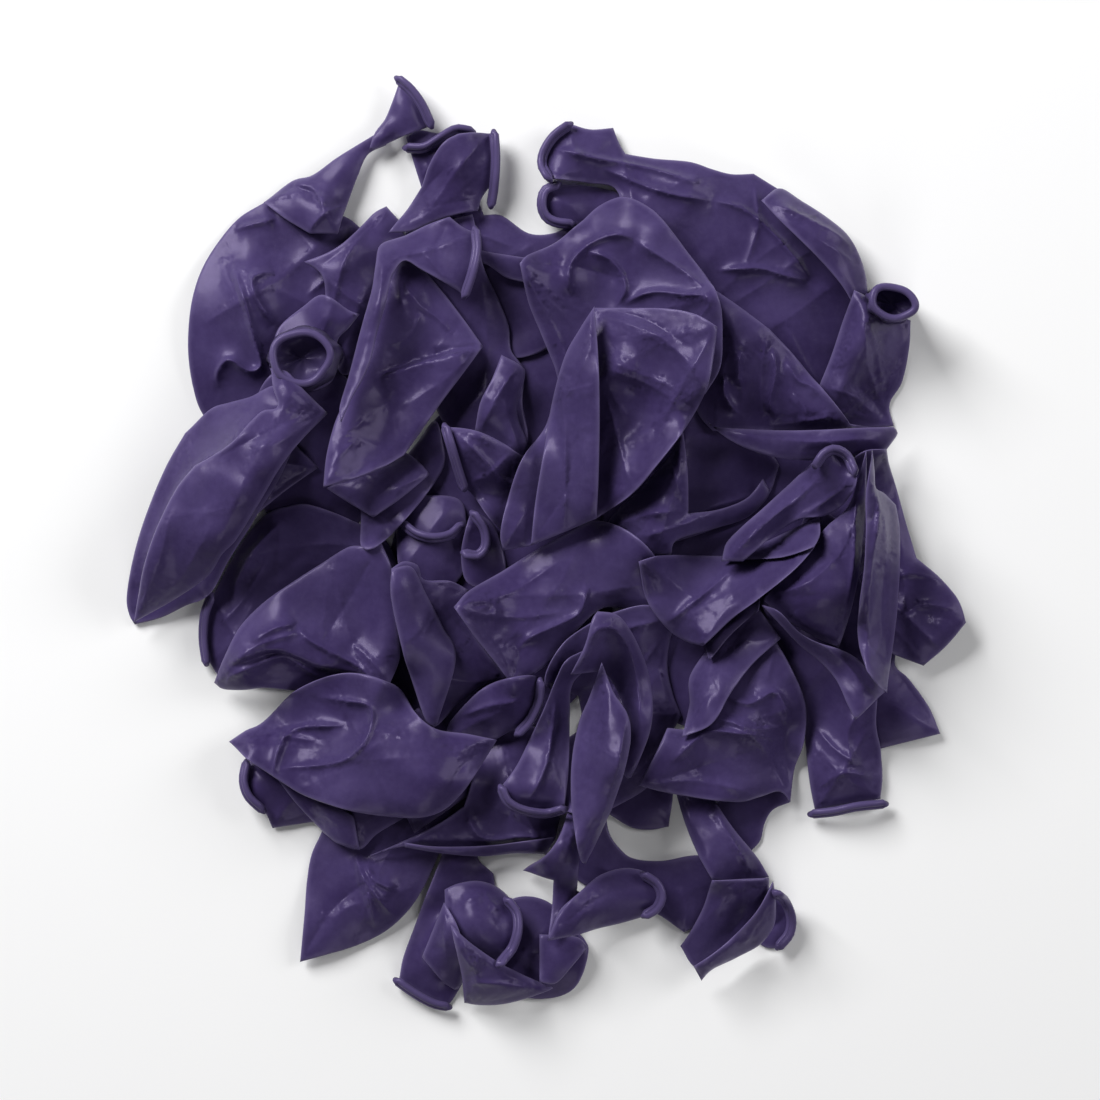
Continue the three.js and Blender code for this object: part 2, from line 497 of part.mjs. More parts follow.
// Where a film lies on the heap: never below it, and eased over its steps.
function drape(heap, nodes) {
  let lie = new Map([...nodes].map((n) => [n, heap[n]]));
  for (let pass = 0; pass < EASE_PASSES; pass += 1) {
    const eased = new Map();
    for (const [n, z] of lie) {
      const beside = [n - 1, n + 1, n - COLUMNS, n + COLUMNS].filter((m) => lie.has(m));
      const mean = beside.reduce((sum, m) => sum + lie.get(m), z) / (beside.length + 1);
      eased.set(n, Math.max(heap[n], mean));
    }
    lie = eased;
  }
  return lie;
}

// ---- Solids.

function toManifold(geometry) {
  const bare = geometry.clone();
  bare.deleteAttribute("normal");
  bare.deleteAttribute("uv");
  const merged = mergeVertices(bare, 1e-4);
  return new wasm.Manifold(
    new wasm.Mesh({
      numProp: 3,
      vertProperties: new Float32Array(merged.attributes.position.array),
      triVerts: new Uint32Array(merged.index.array),
    }),
  );
}

function toGeometry(solid) {
  const mesh = solid.getMesh();
  const geometry = new THREE.BufferGeometry();
  geometry.setAttribute("position", new THREE.BufferAttribute(mesh.vertProperties, mesh.numProp));
  geometry.setIndex(new THREE.BufferAttribute(mesh.triVerts, 1));
  geometry.computeVertexNormals();
  return geometry;
}

const TALL = 200;

function prism(points, low = -TALL, high = TALL) {
  const shape = new THREE.Shape(points);
  const geometry = new THREE.ExtrudeGeometry(shape, { depth: high - low, bevelEnabled: false, steps: 1 });
  return toManifold(geometry.translate(0, 0, low));
}

// The space between two height maps, over the rectangle that holds the nodes of a layer.
function slab(nodes, bottom, top) {
  const columns = [...nodes].map((n) => n % COLUMNS);
  const rows = [...nodes].map((n) => Math.floor(n / COLUMNS));
  const [i0, i1] = [Math.min(...columns), Math.max(...columns)];
  const [j0, j1] = [Math.min(...rows), Math.max(...rows)];
  const wide = i1 - i0 + 1;
  const high = j1 - j0 + 1;
  const positions = [];
  for (const height of [bottom, top]) {
    for (let j = j0; j <= j1; j += 1) {
      for (let i = i0; i <= i1; i += 1) {
        const n = nodeAt(i, j);
        positions.push(nodeX(i), nodeY(j), nodes.has(n) ? height.get(n) : Number(height === top));
      }
    }
  }
  const index = [];
  const lid = wide * high;
  for (let j = 0; j < high - 1; j += 1) {
    for (let i = 0; i < wide - 1; i += 1) {
      const a = j * wide + i;
      const [b, c, d] = [a + 1, a + wide + 1, a + wide];
      index.push(a, c, b, a, d, c);
      index.push(lid + a, lid + b, lid + c, lid + a, lid + c, lid + d);
    }
  }
  const wall = (a, b) => index.push(a, b, lid + b, a, lid + b, lid + a);
  for (let i = 0; i < wide - 1; i += 1) {
    wall(i, i + 1);
    wall((high - 1) * wide + i + 1, (high - 1) * wide + i);
  }
  for (let j = 0; j < high - 1; j += 1) {
    wall((j + 1) * wide, j * wide);
    wall(j * wide + wide - 1, (j + 1) * wide + wide - 1);
  }
  const geometry = new THREE.BufferGeometry();
  geometry.setAttribute("position", new THREE.Float32BufferAttribute(positions, 3));
  geometry.setIndex(index);
  return toManifold(geometry);
}

// A strip of the rim's width along a line.
function strip(line, width) {
  const curve = new THREE.CatmullRomCurve3(line.map(([x, y]) => new THREE.Vector3(x, y, 0)));
  const steps = Math.max(2, Math.round(curve.getLength() / OUTLINE_STEP));
  const sides = [[], []];
  for (let s = 0; s <= steps; s += 1) {
    const p = curve.getPointAt(s / steps);
    const t = curve.getTangentAt(s / steps);
    sides[0].push(new THREE.Vector2(p.x - (t.y * width) / 2, p.y + (t.x * width) / 2));
    sides[1].unshift(new THREE.Vector2(p.x + (t.y * width) / 2, p.y - (t.x * width) / 2));
  }
  const points = [...sides[1].reverse(), ...sides[0].reverse()];
  return THREE.ShapeUtils.area(points) < 0 ? points.reverse() : points;
}

function ellipse([x, y], [a, b], turn, inset = 0) {
  const curve = new THREE.EllipseCurve(x, y, a - inset, b - inset, 0, 2 * Math.PI, false,
    THREE.MathUtils.degToRad(turn));
  return curve.getPoints(16).slice(0, -1);
}

// ---- The heap.

const heap = new Float64Array(COLUMNS * ROWS); // the top of all that is laid down so far

// One layer of a balloon: from the bottom of the balloon up to the top of this layer.
function layLayer(outline, bottom, own, middle, edge) {
  const nodes = touchedNodes(outline);
  const top = new Map();
  for (const n of nodes) {
    const [x, y] = [nodeX(n % COLUMNS), nodeY(Math.floor(n / COLUMNS))];
    const inward = isInside(outline, x, y) ? distanceToEdge(outline, x, y) : 0;
    const film = edge + (middle - edge) * Math.min(1, inward / LOFT_REACH);
    top.set(n, (own.get(n) ?? bottom.get(n)) + film);
  }
  for (const [n, z] of top) own.set(n, z);
  return prism(outline).intersect(slab(nodes, bottom, top));
}

// The outlines of a balloon's layers in the order that they lie, with how thick each one is.
function layersOf({ layers, rim, mouth }) {
  const sheets = [];
  const addRim = (line) =>
    sheets.push({ outline: strip(line, RIM_WIDTH), middle: RIM_HEIGHT, edge: RIM_HEIGHT });
  for (const layer of layers) {
    sheets.push({ outline: outlinePoints(layer.outline ?? layer), middle: LOFT, edge: FLAT_EDGE });
    if (layer.rim) addRim(layer.rim);
  }
  if (rim) addRim(rim);
  if (mouth) {
    const outline = ellipse(mouth.at, mouth.half, mouth.turn);
    sheets.push({ outline, middle: mouth.height, edge: mouth.height });
  }
  return sheets;
}

function makeBalloon(balloon) {
  const sheets = layersOf(balloon);
  const nodes = new Set(sheets.flatMap(({ outline }) => [...touchedNodes(outline)]));
  const bottom = drape(heap, nodes);
  for (const [n, z] of bottom) bottom.set(n, z < 1e-6 ? 0 : z + CLEARANCE);
  const own = new Map(); // the top of the layers that are laid so far
  const parts = sheets.map(({ outline, middle, edge }) => layLayer(outline, bottom, own, middle, edge));
  let solid = parts.reduce((all, part) => all.add(part));
  if (balloon.mouth) {
    const { at, half, turn, depth } = balloon.mouth;
    const rimTop = Math.min(...[...touchedNodes(ellipse(at, half, turn))].map((n) => own.get(n)));
    solid = solid.subtract(prism(ellipse(at, half, turn, MOUTH_WALL), rimTop - depth, TALL));
  }
  for (const [n, z] of own) heap[n] = Math.max(heap[n], z);
  const mesh = new THREE.Mesh(toGeometry(solid), LATEX.clone());
  mesh.name = balloon.name;
  return mesh;
}

const heapOfBalloons = new THREE.Group();
for (const balloon of BALLOONS) heapOfBalloons.add(makeBalloon(balloon));
const middle = new THREE.Box3().setFromObject(heapOfBalloons).getCenter(new THREE.Vector3());
heapOfBalloons.position.set(-middle.x, -middle.y, 0);

export default heapOfBalloons;
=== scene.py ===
"""A loose heap of empty latex balloons, laid down film by film, each draped over the ones below."""
import json
import math

import bpy
import numpy as np
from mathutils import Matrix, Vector, geometry


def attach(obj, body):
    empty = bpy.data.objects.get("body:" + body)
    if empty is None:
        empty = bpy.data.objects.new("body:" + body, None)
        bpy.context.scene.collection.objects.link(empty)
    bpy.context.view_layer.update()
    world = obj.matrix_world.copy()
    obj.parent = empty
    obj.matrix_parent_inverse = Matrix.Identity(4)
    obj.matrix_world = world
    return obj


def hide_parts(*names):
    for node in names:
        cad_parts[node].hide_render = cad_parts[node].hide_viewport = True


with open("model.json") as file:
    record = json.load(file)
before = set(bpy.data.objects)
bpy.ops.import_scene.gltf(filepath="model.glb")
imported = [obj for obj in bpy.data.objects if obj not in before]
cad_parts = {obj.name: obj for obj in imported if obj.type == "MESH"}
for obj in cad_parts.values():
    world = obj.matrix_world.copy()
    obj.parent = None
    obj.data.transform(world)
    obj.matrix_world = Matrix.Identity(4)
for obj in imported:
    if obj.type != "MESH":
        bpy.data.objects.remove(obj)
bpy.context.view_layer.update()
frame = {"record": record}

# Everything up to the meshes is in millimetres. The heap's own sizes:
FOLD_RADIUS = 0.55  # half the thickness of the doubled film at a folded edge
LOFT = 0.9  # how much a layer swells between its edges with the air left in it
LOFT_REACH = 8.0  # how far in from an edge the swell builds up
HOVER = 2.6  # how far a film stands off the ones that it lies on
DOME = 4.0  # how high a slack film arches between its edges
DOME_REACH = 16.0  # how far in from an edge the arch builds up
FOLD_RISE = 2.7  # the pressed folds stand this many times the height given for them
FOLD_SPREAD = 1.9  # and reach this many times the width
FOLD_ROWS = (0.45, 1.1, 2.0)  # rows of points on both sides of a fold, which keep it crisp
FACE_AREA = 900.0  # of film to each of the long folds across a layer
CORNER_FOLDS = 3  # folds that run into a layer from each of its sharp corners
SMOOTHING = 3  # passes that even out a film after it has come to rest
SLACK = 0.007  # spare length in a film, as a share, which it takes up in wrinkles
SETTLE_PASSES = 140  # steps in which a film comes to rest
STIFFNESS = 0.8  # of a film against bending
WEIGHT = 0.0004  # how far it sinks in each pass
AIR_GAP = 0.12  # between one film and the next
SAG = 0.005  # how quickly a film drops behind a step that it lies over
DRAPE_PASSES = 200  # steps in which the lie of a film over the heap is worked out
RIM_RADIUS = 1.35  # of the rolled rim round the mouth
NECK_WIDTH = 25.0  # of a neck that lies flat
NECK_LENGTH = 36.0  # from the body to the rolled rim
BEAD_REACH = 2.4  # how far from its line a flat rim lifts what lies over it
MOUTH_HEIGHT = 9.0  # of an open mouth over the film that it stands on
EDGE_FADE = 0.9  # how far in from a folded edge the painted highlight colour fades
SPACING = 1.6  # between the points of a film
EDGE_STEP = 1.4  # between the points along its edge
EDGE_ROWS = (0.13, 0.4, 0.95)  # rows of points beside the edge, which round it off
GRID = 1.0  # the map of the heap's height
MAP_LOW = np.array([-166.0, -182.0])  # its corner
MAP_SHAPE = (366, 333)  # rows, columns

heap = np.zeros(MAP_SHAPE)  # the top of everything laid so far

C = 1  # marks a sharp corner of an outline: the other points lie on a smooth curve


# ---- Lines and distances.

def smooth_run(points, closed, step):
    """A smooth curve through the points, with points at about equal steps along it."""
    p = np.array(points, float)
    if closed:
        p = np.vstack([p[-1], p, p[0], p[1]])
    elif len(p) == 2:
        count = max(1, round(float(np.linalg.norm(p[1] - p[0])) / step))
        return p[0] + (p[1] - p[0]) * np.linspace(0, 1, count + 1)[:, None]
    else:
        p = np.vstack([2 * p[0] - p[1], p, 2 * p[-1] - p[-2]])
    t = np.linspace(0, 1, 12, endpoint=False)[:, None]
    fine = []
    for a, b, c, d in zip(p, p[1:], p[2:], p[3:]):
        fine.append(b + t * (c - a) / 2 + t**2 * (a - 2.5 * b + 2 * c - d / 2)
                    + t**3 * (1.5 * (b - c) + (d - a) / 2))
    fine = np.vstack(fine + [p[-2][None]])
    length = np.r_[0, np.cumsum(np.linalg.norm(np.diff(fine, axis=0), axis=1))]
    at = np.linspace(0, length[-1], max(2, round(length[-1] / step) + 1))
    return np.column_stack([np.interp(at, length, fine[:, k]) for k in range(2)])


def outline_points(marks, step=EDGE_STEP):
    """A closed outline, counterclockwise, smooth between its corners."""
    corners = [i for i, m in enumerate(marks) if len(m) > 2]
    if not corners:
        line = smooth_run([m[:2] for m in marks], True, step)[:-1]
    else:
        turned = marks[corners[0]:] + marks[:corners[0] + 1]
        ends = [i for i, m in enumerate(turned) if len(m) > 2]
        runs = [smooth_run([m[:2] for m in turned[a:b + 1]], False, step)[:-1]
                for a, b in zip(ends, ends[1:])]
        line = np.vstack(runs)
    x, y = line[:, 0], line[:, 1]
    area = np.dot(x, np.roll(y, -1)) - np.dot(y, np.roll(x, -1))
    return line if area > 0 else line[::-1].copy()


def is_inside(line, p):
    """Which of the points p lie inside a closed line."""
    a, b = line, np.roll(line, -1, axis=0)
    inside = np.zeros(len(p), bool)
    for (ax, ay), (bx, by) in zip(a, b):
        if ay != by:
            crosses = (ay > p[:, 1]) != (by > p[:, 1])
            inside ^= crosses & (p[:, 0] < ax + (p[:, 1] - ay) / (by - ay) * (bx - ax))
    return inside


def line_distance(line, p, closed):
    """For each point: the distance to the line, the side it is on, and how far along the line it is."""
    a = line if closed else line[:-1]
    b = np.roll(line, -1, axis=0) if closed else line[1:]
    run = b - a
    size = np.maximum((run**2).sum(1), 1e-9)
    best = np.full(len(p), np.inf)
    side = np.zeros(len(p))
    along = np.zeros(len(p))
    for i in range(len(a)):
        off = p - a[i]
        t = np.clip(off @ run[i] / size[i], 0, 1)
        gap = np.hypot(*(off - t[:, None] * run[i]).T)
        near = gap < best
        best = np.where(near, gap, best)
        side = np.where(near, np.sign(run[i][0] * off[:, 1] - run[i][1] * off[:, 0]), side)
        along = np.where(near, (i + t) / len(a), along)
    return best, side, along


def lattice_noise(p, size, seed):
    """Smooth noise from -1 to 1 over the plane, with bumps of about the given size."""
    q = p / size
    cell = np.floor(q).astype(np.int64)
    f = q - cell
    blend = f * f * f * (f * (f * 6 - 15) + 10)

    def corner(dx, dy):
        x, y = cell[:, 0] + dx, cell[:, 1] + dy
        mixed = np.sin(x * 127.1 + y * 311.7 + seed * 74.7) * 43758.5453
        angle = (mixed - np.floor(mixed)) * 2 * math.pi
        return np.cos(angle) * (f[:, 0] - dx) + np.sin(angle) * (f[:, 1] - dy)

    low = corner(0, 0) * (1 - blend[:, 0]) + corner(1, 0) * blend[:, 0]
    high = corner(0, 1) * (1 - blend[:, 0]) + corner(1, 1) * blend[:, 0]
    return 1.6 * (low * (1 - blend[:, 1]) + high * blend[:, 1])


# ---- The height map.

def map_points(low, high):
    """The part of the height map between two corners: its slices and its points."""
    i0, j0 = np.maximum(np.floor((low - MAP_LOW) / GRID).astype(int) - 2, 0)
    i1, j1 = np.ceil((high - MAP_LOW) / GRID).astype(int) + 3
    i1, j1 = min(i1, MAP_SHAPE[1]), min(j1, MAP_SHAPE[0])
    x, y = np.meshgrid(MAP_LOW[0] + GRID * np.arange(i0, i1), MAP_LOW[1] + GRID * np.arange(j0, j1))
    return (slice(j0, j1), slice(i0, i1)), np.column_stack([x.ravel(), y.ravel()])


def read_map(grid, low, p):
    """The value of a map at points between its nodes."""
    q = (p - low) / GRID
    i = np.clip(q[:, 0].astype(int), 0, grid.shape[1] - 2)
    j = np.clip(q[:, 1].astype(int), 0, grid.shape[0] - 2)
    u, v = np.clip(q[:, 0] - i, 0, 1), np.clip(q[:, 1] - j, 0, 1)
    return ((grid[j, i] * (1 - u) + grid[j, i + 1] * u) * (1 - v)
            + (grid[j + 1, i] * (1 - u) + grid[j + 1, i + 1] * u) * v)


def neighbours(z):
    """A map shifted by one node each way, with its border repeated."""
    q = np.pad(z, 1, mode="edge")
    return q[:-2, 1:-1], q[2:, 1:-1], q[1:-1, :-2], q[1:-1, 2:]


def drape(under, mask, passes=DRAPE_PASSES, sag=SAG):
    """How a film lies on what is under it: held up by it, and hanging in a curve behind its steps."""
    floor = np.maximum.reduce([under, *neighbours(under)])
    lie = floor.copy()
    for _ in range(passes):
        lie = np.where(mask, np.maximum(floor, sum(neighbours(lie)) / 4 - sag), floor)
    for _ in range(3):
        lie = (2 * lie + sum(neighbours(lie))) / 6
    return lie


# ---- Films.

def fold_relief(folds, p):
    """How far the folds pressed into a film lift it at the points p."""
    rise = np.zeros(len(p))
    for shape, height, width, points in folds:
        line = smooth_run(points, False, 2.0)
        off, side, along = line_distance(line, p, False)
        taper = np.minimum(1.8 * np.sin(math.pi * along), 1)
        height, width = height * FOLD_RISE, width * FOLD_SPREAD
        if shape == "ridge":
            lift = 0.7 * np.exp(-off / width) + 0.3 * np.exp(-((off / 0.9) ** 2))
        elif shape == "crease":
            lift = np.exp(-off / width)
        elif shape == "valley":
            lift = -np.exp(-off / width)
        else:  # a lap: up in one short step on the left of the line, and easing off behind it
            step = np.clip(0.5 + side * off / 1.2, 0, 1)
            lift = step * np.exp(-np.maximum(side * off, 0) / width) * np.exp(-np.maximum(-side * off, 0))
        rise += height * taper * lift
    return rise


def corner_folds(marks, line, seed):
    """Folds that spread into a layer from its sharp corners, where the film is pinched."""
    chance = np.random.default_rng(seed)
    spots = np.array([m[:2] for m in marks], float)
    folds = []
    for i, mark in enumerate(marks):
        if len(mark) < 3:
            continue
        back, on = spots[i - 1] - spots[i], spots[(i + 1) % len(spots)] - spots[i]
        back, on = back / np.linalg.norm(back), on / np.linalg.norm(on)
        for k in range(CORNER_FOLDS):
            share = (k + chance.uniform(0.3, 0.9)) / CORNER_FOLDS
            way = share * back + (1 - share) * on
            way /= max(float(np.linalg.norm(way)), 1e-6)
            length = chance.uniform(14, 48)
            bend = np.array([-way[1], way[0]]) * chance.uniform(-0.1, 0.1) * length
            run = [spots[i] + way * 1.2, spots[i] + way * length / 2 + bend, spots[i] + way * length]
            if is_inside(line, np.array(run)).all():
                shape = ("crease", "ridge", "valley")[chance.integers(3)]
                folds.append((shape, chance.uniform(0.3, 0.8), chance.uniform(1.2, 2.8), run))
    return folds


def long_folds(line, seed):
    """Folds from one side of a layer to another, which part it into flatter faces."""
    chance = np.random.default_rng(seed)
    x, y = line[:, 0], line[:, 1]
    area = (np.dot(x, np.roll(y, -1)) - np.dot(y, np.roll(x, -1))) / 2
    folds = []
    for _ in range(round(min(area / FACE_AREA, 5))):
        first = chance.integers(len(line))
        last = int(first + chance.uniform(0.3, 0.7) * len(line)) % len(line)
        a, b = line[first], line[last]
        bend = chance.uniform(-0.08, 0.08) * np.array([a[1] - b[1], b[0] - a[0]])
        run = [a + (b - a) * 0.05, (a + b) / 2 + bend, b + (a - b) * 0.05]
        if is_inside(line, np.array(run)).all():
            folds.append(("crease", chance.uniform(0.3, 0.6), chance.uniform(2.5, 5.0), run))
    return folds


def lifted(lifts, p):
    """How far a film is held up round the places where it stands off the heap."""
    rise = np.zeros(len(p))
    for height, reach, points in lifts:
        if len(points) == 1:
            off = np.hypot(*(p - points[0]).T)
        else:
            off, _, _ = line_distance(smooth_run(points, False, 4.0), p, False)
        rise += height * np.exp(-((off / reach) ** 2))
    return rise


def add_up(count, index, pushes):
    """The sum of the pushes on each of the points."""
    return np.column_stack([np.bincount(index, pushes[:, k], count) for k in range(3)])


def hinge_pairs(faces):
    """The sides of a net's triangles, and the two far points across each side that two triangles share."""
    sides = np.vstack([faces[:, [0, 1]], faces[:, [1, 2]], faces[:, [2, 0]]])
    far = np.r_[faces[:, 2], faces[:, 0], faces[:, 1]]
    sides = np.sort(sides, axis=1)
    order = np.lexsort((sides[:, 1], sides[:, 0]))
    sides, far = sides[order], far[order]
    same = (sides[1:] == sides[:-1]).all(1)
    single = np.r_[True, ~same]
    return sides[single], np.column_stack([far[:-1][same], far[1:][same]])


def settle(points, faces, held, slack, floor, passes, stiffness):
    """Lets a film that has a little too much length for its outline buckle and come to rest on the heap.

    held is how firmly each point keeps its place in plan, slack the spare length at each point, and
    floor gives the least height at a place."""
    sides, hinges = hinge_pairs(faces)
    pairs = np.vstack([sides, hinges])
    plan = points[:, :2].copy()
    spare = 1 + (slack[pairs[:, 0]] + slack[pairs[:, 1]]) / 2
    start = np.linalg.norm(points[pairs[:, 0]] - points[pairs[:, 1]], axis=1)
    rest = start * spare
    firm = np.r_[np.ones(len(sides)), np.full(len(hinges), stiffness)]
    index = np.r_[pairs[:, 0], pairs[:, 1]]
    count = len(points)
    load = np.bincount(index, np.r_[firm, firm], count)
    now, before = points.copy(), points.copy()
    for _ in range(passes):
        ahead = now + 0.9 * (now - before)
        ahead[:, 2] -= WEIGHT
        before, now = now, ahead
        run = now[pairs[:, 1]] - now[pairs[:, 0]]
        size = np.sqrt((run**2).sum(1))
        push = run * (firm * (size - rest) / np.maximum(size, 1e-6) * 0.5)[:, None]
        now = now + 1.6 * add_up(count, index, np.vstack([push, -push])) / load[:, None]
        now[:, :2] += (plan - now[:, :2]) * held[:, None]
        now[:, 2] = np.maximum(now[:, 2], floor(now))
    return now


def round_edge(off):
    """The height of a rounded edge over its middle line, at a distance in from it."""
    return np.sqrt(np.maximum(1 - (1 - np.minimum(off / FOLD_RADIUS, 1)) ** 2, 0))


class Film:
    """One folded layer of a balloon: a closed double film over its outline."""

    def __init__(self, marks, folds, lifts, seed, dome):
        self.line = outline_points(marks)
        folds = folds + corner_folds(marks, self.line, seed) + long_folds(self.line, seed)
        self.flat, self.faces, self.is_edge = self.net(folds)
        self.off, _, _ = line_distance(self.line, self.flat, True)
        self.off[self.is_edge] = 0
        where, spots = map_points(self.line.min(0), self.line.max(0))
        under = heap[where]
        inside = is_inside(self.line, spots).reshape(under.shape)
        reach = inside | np.maximum.reduce(neighbours(inside.astype(float))).astype(bool)
        lie = drape(under, reach)
        low = spots[0]
        raised = np.maximum.reduce([under, *neighbours(under)])
        height = read_map(lie, low, self.flat)
        swell = lattice_noise(self.flat, 31.0, seed)
        on_top = np.clip(height / 3.0, 0.25, 1.0)
        start = height + FOLD_RADIUS + AIR_GAP + on_top * HOVER * (0.75 + 0.75 * swell)
        inner = 1 - np.exp(-self.off / DOME_REACH)
        crests = 1 - 1.8 * np.abs(lattice_noise(self.flat, 36.0, seed + 4))
        start += np.clip(1.2 - height / 40, 0.3, 1) * inner * dome * (0.65 + 0.5 * crests)
        start += lifted(lifts, self.flat)
        spare = SLACK * np.clip(0.7 + 0.8 * lattice_noise(self.flat, 40.0, seed + 2), 0.1, 2)
        held = np.where(self.is_edge, 0.5, 0.02)

        def floor(points):
            return read_map(raised, low, points[:, :2]) + AIR_GAP + FOLD_RADIUS

        self.middle = settle(np.column_stack([self.flat, start]), self.faces, held, spare, floor,
                             SETTLE_PASSES, STIFFNESS)
        for _ in range(SMOOTHING):
            self.smooth()
        relief = fold_relief(folds, self.flat) * (0.3 + 0.7 * (1 - np.exp(-self.off / 4)))
        self.middle[:, 2] = np.maximum(self.middle[:, 2] + relief, floor(self.middle))
        self.smooth()
        self.swell = LOFT * (1 - np.exp(-np.maximum(self.off - FOLD_RADIUS, 0) / LOFT_REACH))
        self.lay()

    def net(self, folds):
        """A net of triangles over the outline, with close rows of points along its edge and its folds."""
        line = self.line
        run = np.roll(line, -1, axis=0) - np.roll(line, 1, axis=0)
        inward = np.column_stack([-run[:, 1], run[:, 0]]) / np.maximum(np.hypot(*run.T), 1e-6)[:, None]
        rows = []
        for gap in EDGE_ROWS:
            row = line + inward * gap
            off, _, _ = line_distance(line, row, True)
            rows.append(row[(off > 0.9 * gap) & is_inside(line, row)])
        low, high = line.min(0), line.max(0)
        field = []
        for k, y in enumerate(np.arange(low[1], high[1], SPACING * math.sqrt(0.75))):
            x = np.arange(low[0] + (k % 2) * SPACING / 2, high[0], SPACING)
            field.append(np.column_stack([x, np.full(len(x), y)]))
        field = np.vstack(field)
        pressed = []
        for _, _, _, points in folds:
            fold = smooth_run(points, False, 1.2)
            run = np.gradient(fold, axis=0)
            side = np.column_stack([-run[:, 1], run[:, 0]]) / np.maximum(np.hypot(*run.T), 1e-6)[:, None]
            pressed += [fold] + [fold + side * gap * way for gap in FOLD_ROWS for way in (-1, 1)]
            gap, _, _ = line_distance(fold, field, False)
            field = field[gap > FOLD_ROWS[-1] + 0.5]
        if pressed:
            pressed = np.vstack(pressed)
            _, first = np.unique(np.rint(pressed / 0.5).astype(int), axis=0, return_index=True)
            field = np.vstack([pressed[np.sort(first)], field])
        field = field[is_inside(line, field)]
        off, _, _ = line_distance(line, field, True)
        spots = np.vstack([line, *rows, field[off > EDGE_ROWS[-1] + 0.5]])
        made = geometry.delaunay_2d_cdt([Vector(s) for s in spots], [], [list(range(len(line)))], 1, 1e-4)
        flat = np.array([v[:] for v in made[0]])
        faces = np.array([f for f in made[2] if len(f) == 3])
        is_edge = np.array([any(source < len(line) for source in sources) for sources in made[3]])
        return flat, faces, is_edge

    def smooth(self):
        """Evens out the film's heights between neighbouring points."""
        sides, _ = hinge_pairs(self.faces)
        index, count = np.r_[sides[:, 0], sides[:, 1]], len(self.flat)
        total = np.bincount(index, self.middle[np.r_[sides[:, 1], sides[:, 0]], 2], count)
        mean = total / np.bincount(index, minlength=count)
        self.middle[:, 2] += 0.5 * (mean - self.middle[:, 2])

    def tops(self):
        """The points of the film's upper side."""
        top = self.middle.copy()
        top[:, 2] += FOLD_RADIUS * round_edge(self.off) + self.swell
        return top

    def lay(self):
        """Adds the film to the map of the heap's height."""
        corners = self.tops()[self.faces]
        share = np.array([[i, j, 5 - i - j] for i in range(6) for j in range(6 - i)]) / 5
        spots = np.einsum("sk,fkc->fsc", share, corners).reshape(-1, 3)
        at = np.rint((spots[:, :2] - MAP_LOW) / GRID).astype(int)
        np.maximum.at(heap, (at[:, 1], at[:, 0]), spots[:, 2])

    def mesh(self):
        """Points and faces of the closed film, with how near each point is to a folded edge, which sets its
        share of the painted highlight colour.
        """
        upper = self.tops()
        lower = self.middle.copy()
        lower[:, 2] -= FOLD_RADIUS * round_edge(self.off)
        inner = ~self.is_edge
        number = np.where(self.is_edge, np.arange(len(upper)), len(upper) + np.cumsum(inner) - 1)
        points = np.vstack([upper, lower[inner]])
        near = np.exp(-np.r_[self.off, self.off[inner]] / EDGE_FADE)
        return points, np.vstack([self.faces, number[self.faces][:, ::-1]]), near


# ---- Rims and mouths.

def tube(path, radii, sides=10, closed=True):
    """A round tube along a path of points in space."""
    path = np.array(path, float)
    count = len(path)
    ahead = np.roll(path, -1, axis=0) - np.roll(path, 1, axis=0)
    if not closed:
        ahead[0], ahead[-1] = path[1] - path[0], path[-1] - path[-2]
    ahead /= np.linalg.norm(ahead, axis=1)[:, None]
    out = np.cross(ahead, [0.0, 0.0, 1.0])
    out /= np.maximum(np.linalg.norm(out, axis=1), 1e-6)[:, None]
    up = np.cross(out, ahead)
    turn = np.linspace(0, 2 * math.pi, sides, endpoint=False)
    ring = (out[:, None] * np.cos(turn)[:, None] + up[:, None] * np.sin(turn)[:, None])
    points = (path[:, None] + ring * np.broadcast_to(radii, count)[:, None, None]).reshape(-1, 3)
    faces = []
    for i in range(count if closed else count - 1):
        n = (i + 1) % count
        for k in range(sides):
            m = (k + 1) % sides
            faces.append((i * sides + k, i * sides + m, n * sides + m, n * sides + k))
    if not closed:
        faces.append(tuple(range(sides))[::-1])
        faces.append(tuple((count - 1) * sides + k for k in range(sides)))
    # the whole rim gets a fixed share of the painted highlight colour
    return points, faces, np.full(len(points), 0.5)


def flat_rim(marks):
    """The rolled rim of a mouth that is pressed flat: a bead over and back along its line."""
    line = smooth_run(marks, False, 2.0)
    run = np.gradient(line, axis=0)
    side = np.column_stack([run[:, 1], -run[:, 0]]) / np.hypot(*run.T)[:, None]
    where, spots = map_points(line.min(0) - 4, line.max(0) + 4)
    under = heap[where]
    off, _, _ = line_distance(line, spots, False)
    mask = (off < BEAD_REACH).reshape(under.shape)
    lie = drape(under, mask, 60)
    low = spots[0]
    ground = read_map(lie, low, line) + AIR_GAP
    squeeze = RIM_RADIUS * 0.92
    over = np.column_stack([line - side * 0.35, ground + squeeze * 2.35])
    back = np.column_stack([line + side * 0.75, ground + squeeze * 0.95])[::-1]
    last = line[-1] + (line[-1] - line[-2]) * 0.6 + side[-1] * 0.2
    first = line[0] + (line[0] - line[1]) * 0.6 + side[0] * 0.2
    turn_out = [np.r_[last, ground[-1] + squeeze * 1.6]]
    turn_in = [np.r_[first, ground[0] + squeeze * 1.6]]
    laid = under.copy()
    arch = np.sqrt(np.maximum(1 - (off.reshape(under.shape) / BEAD_REACH) ** 2, 0))
    raised = lie + AIR_GAP + 3.3 * squeeze * arch
    laid[mask] = np.maximum(laid, raised)[mask]
    heap[where] = laid
    return tube(np.vstack([over, turn_out, back, turn_in]), squeeze)


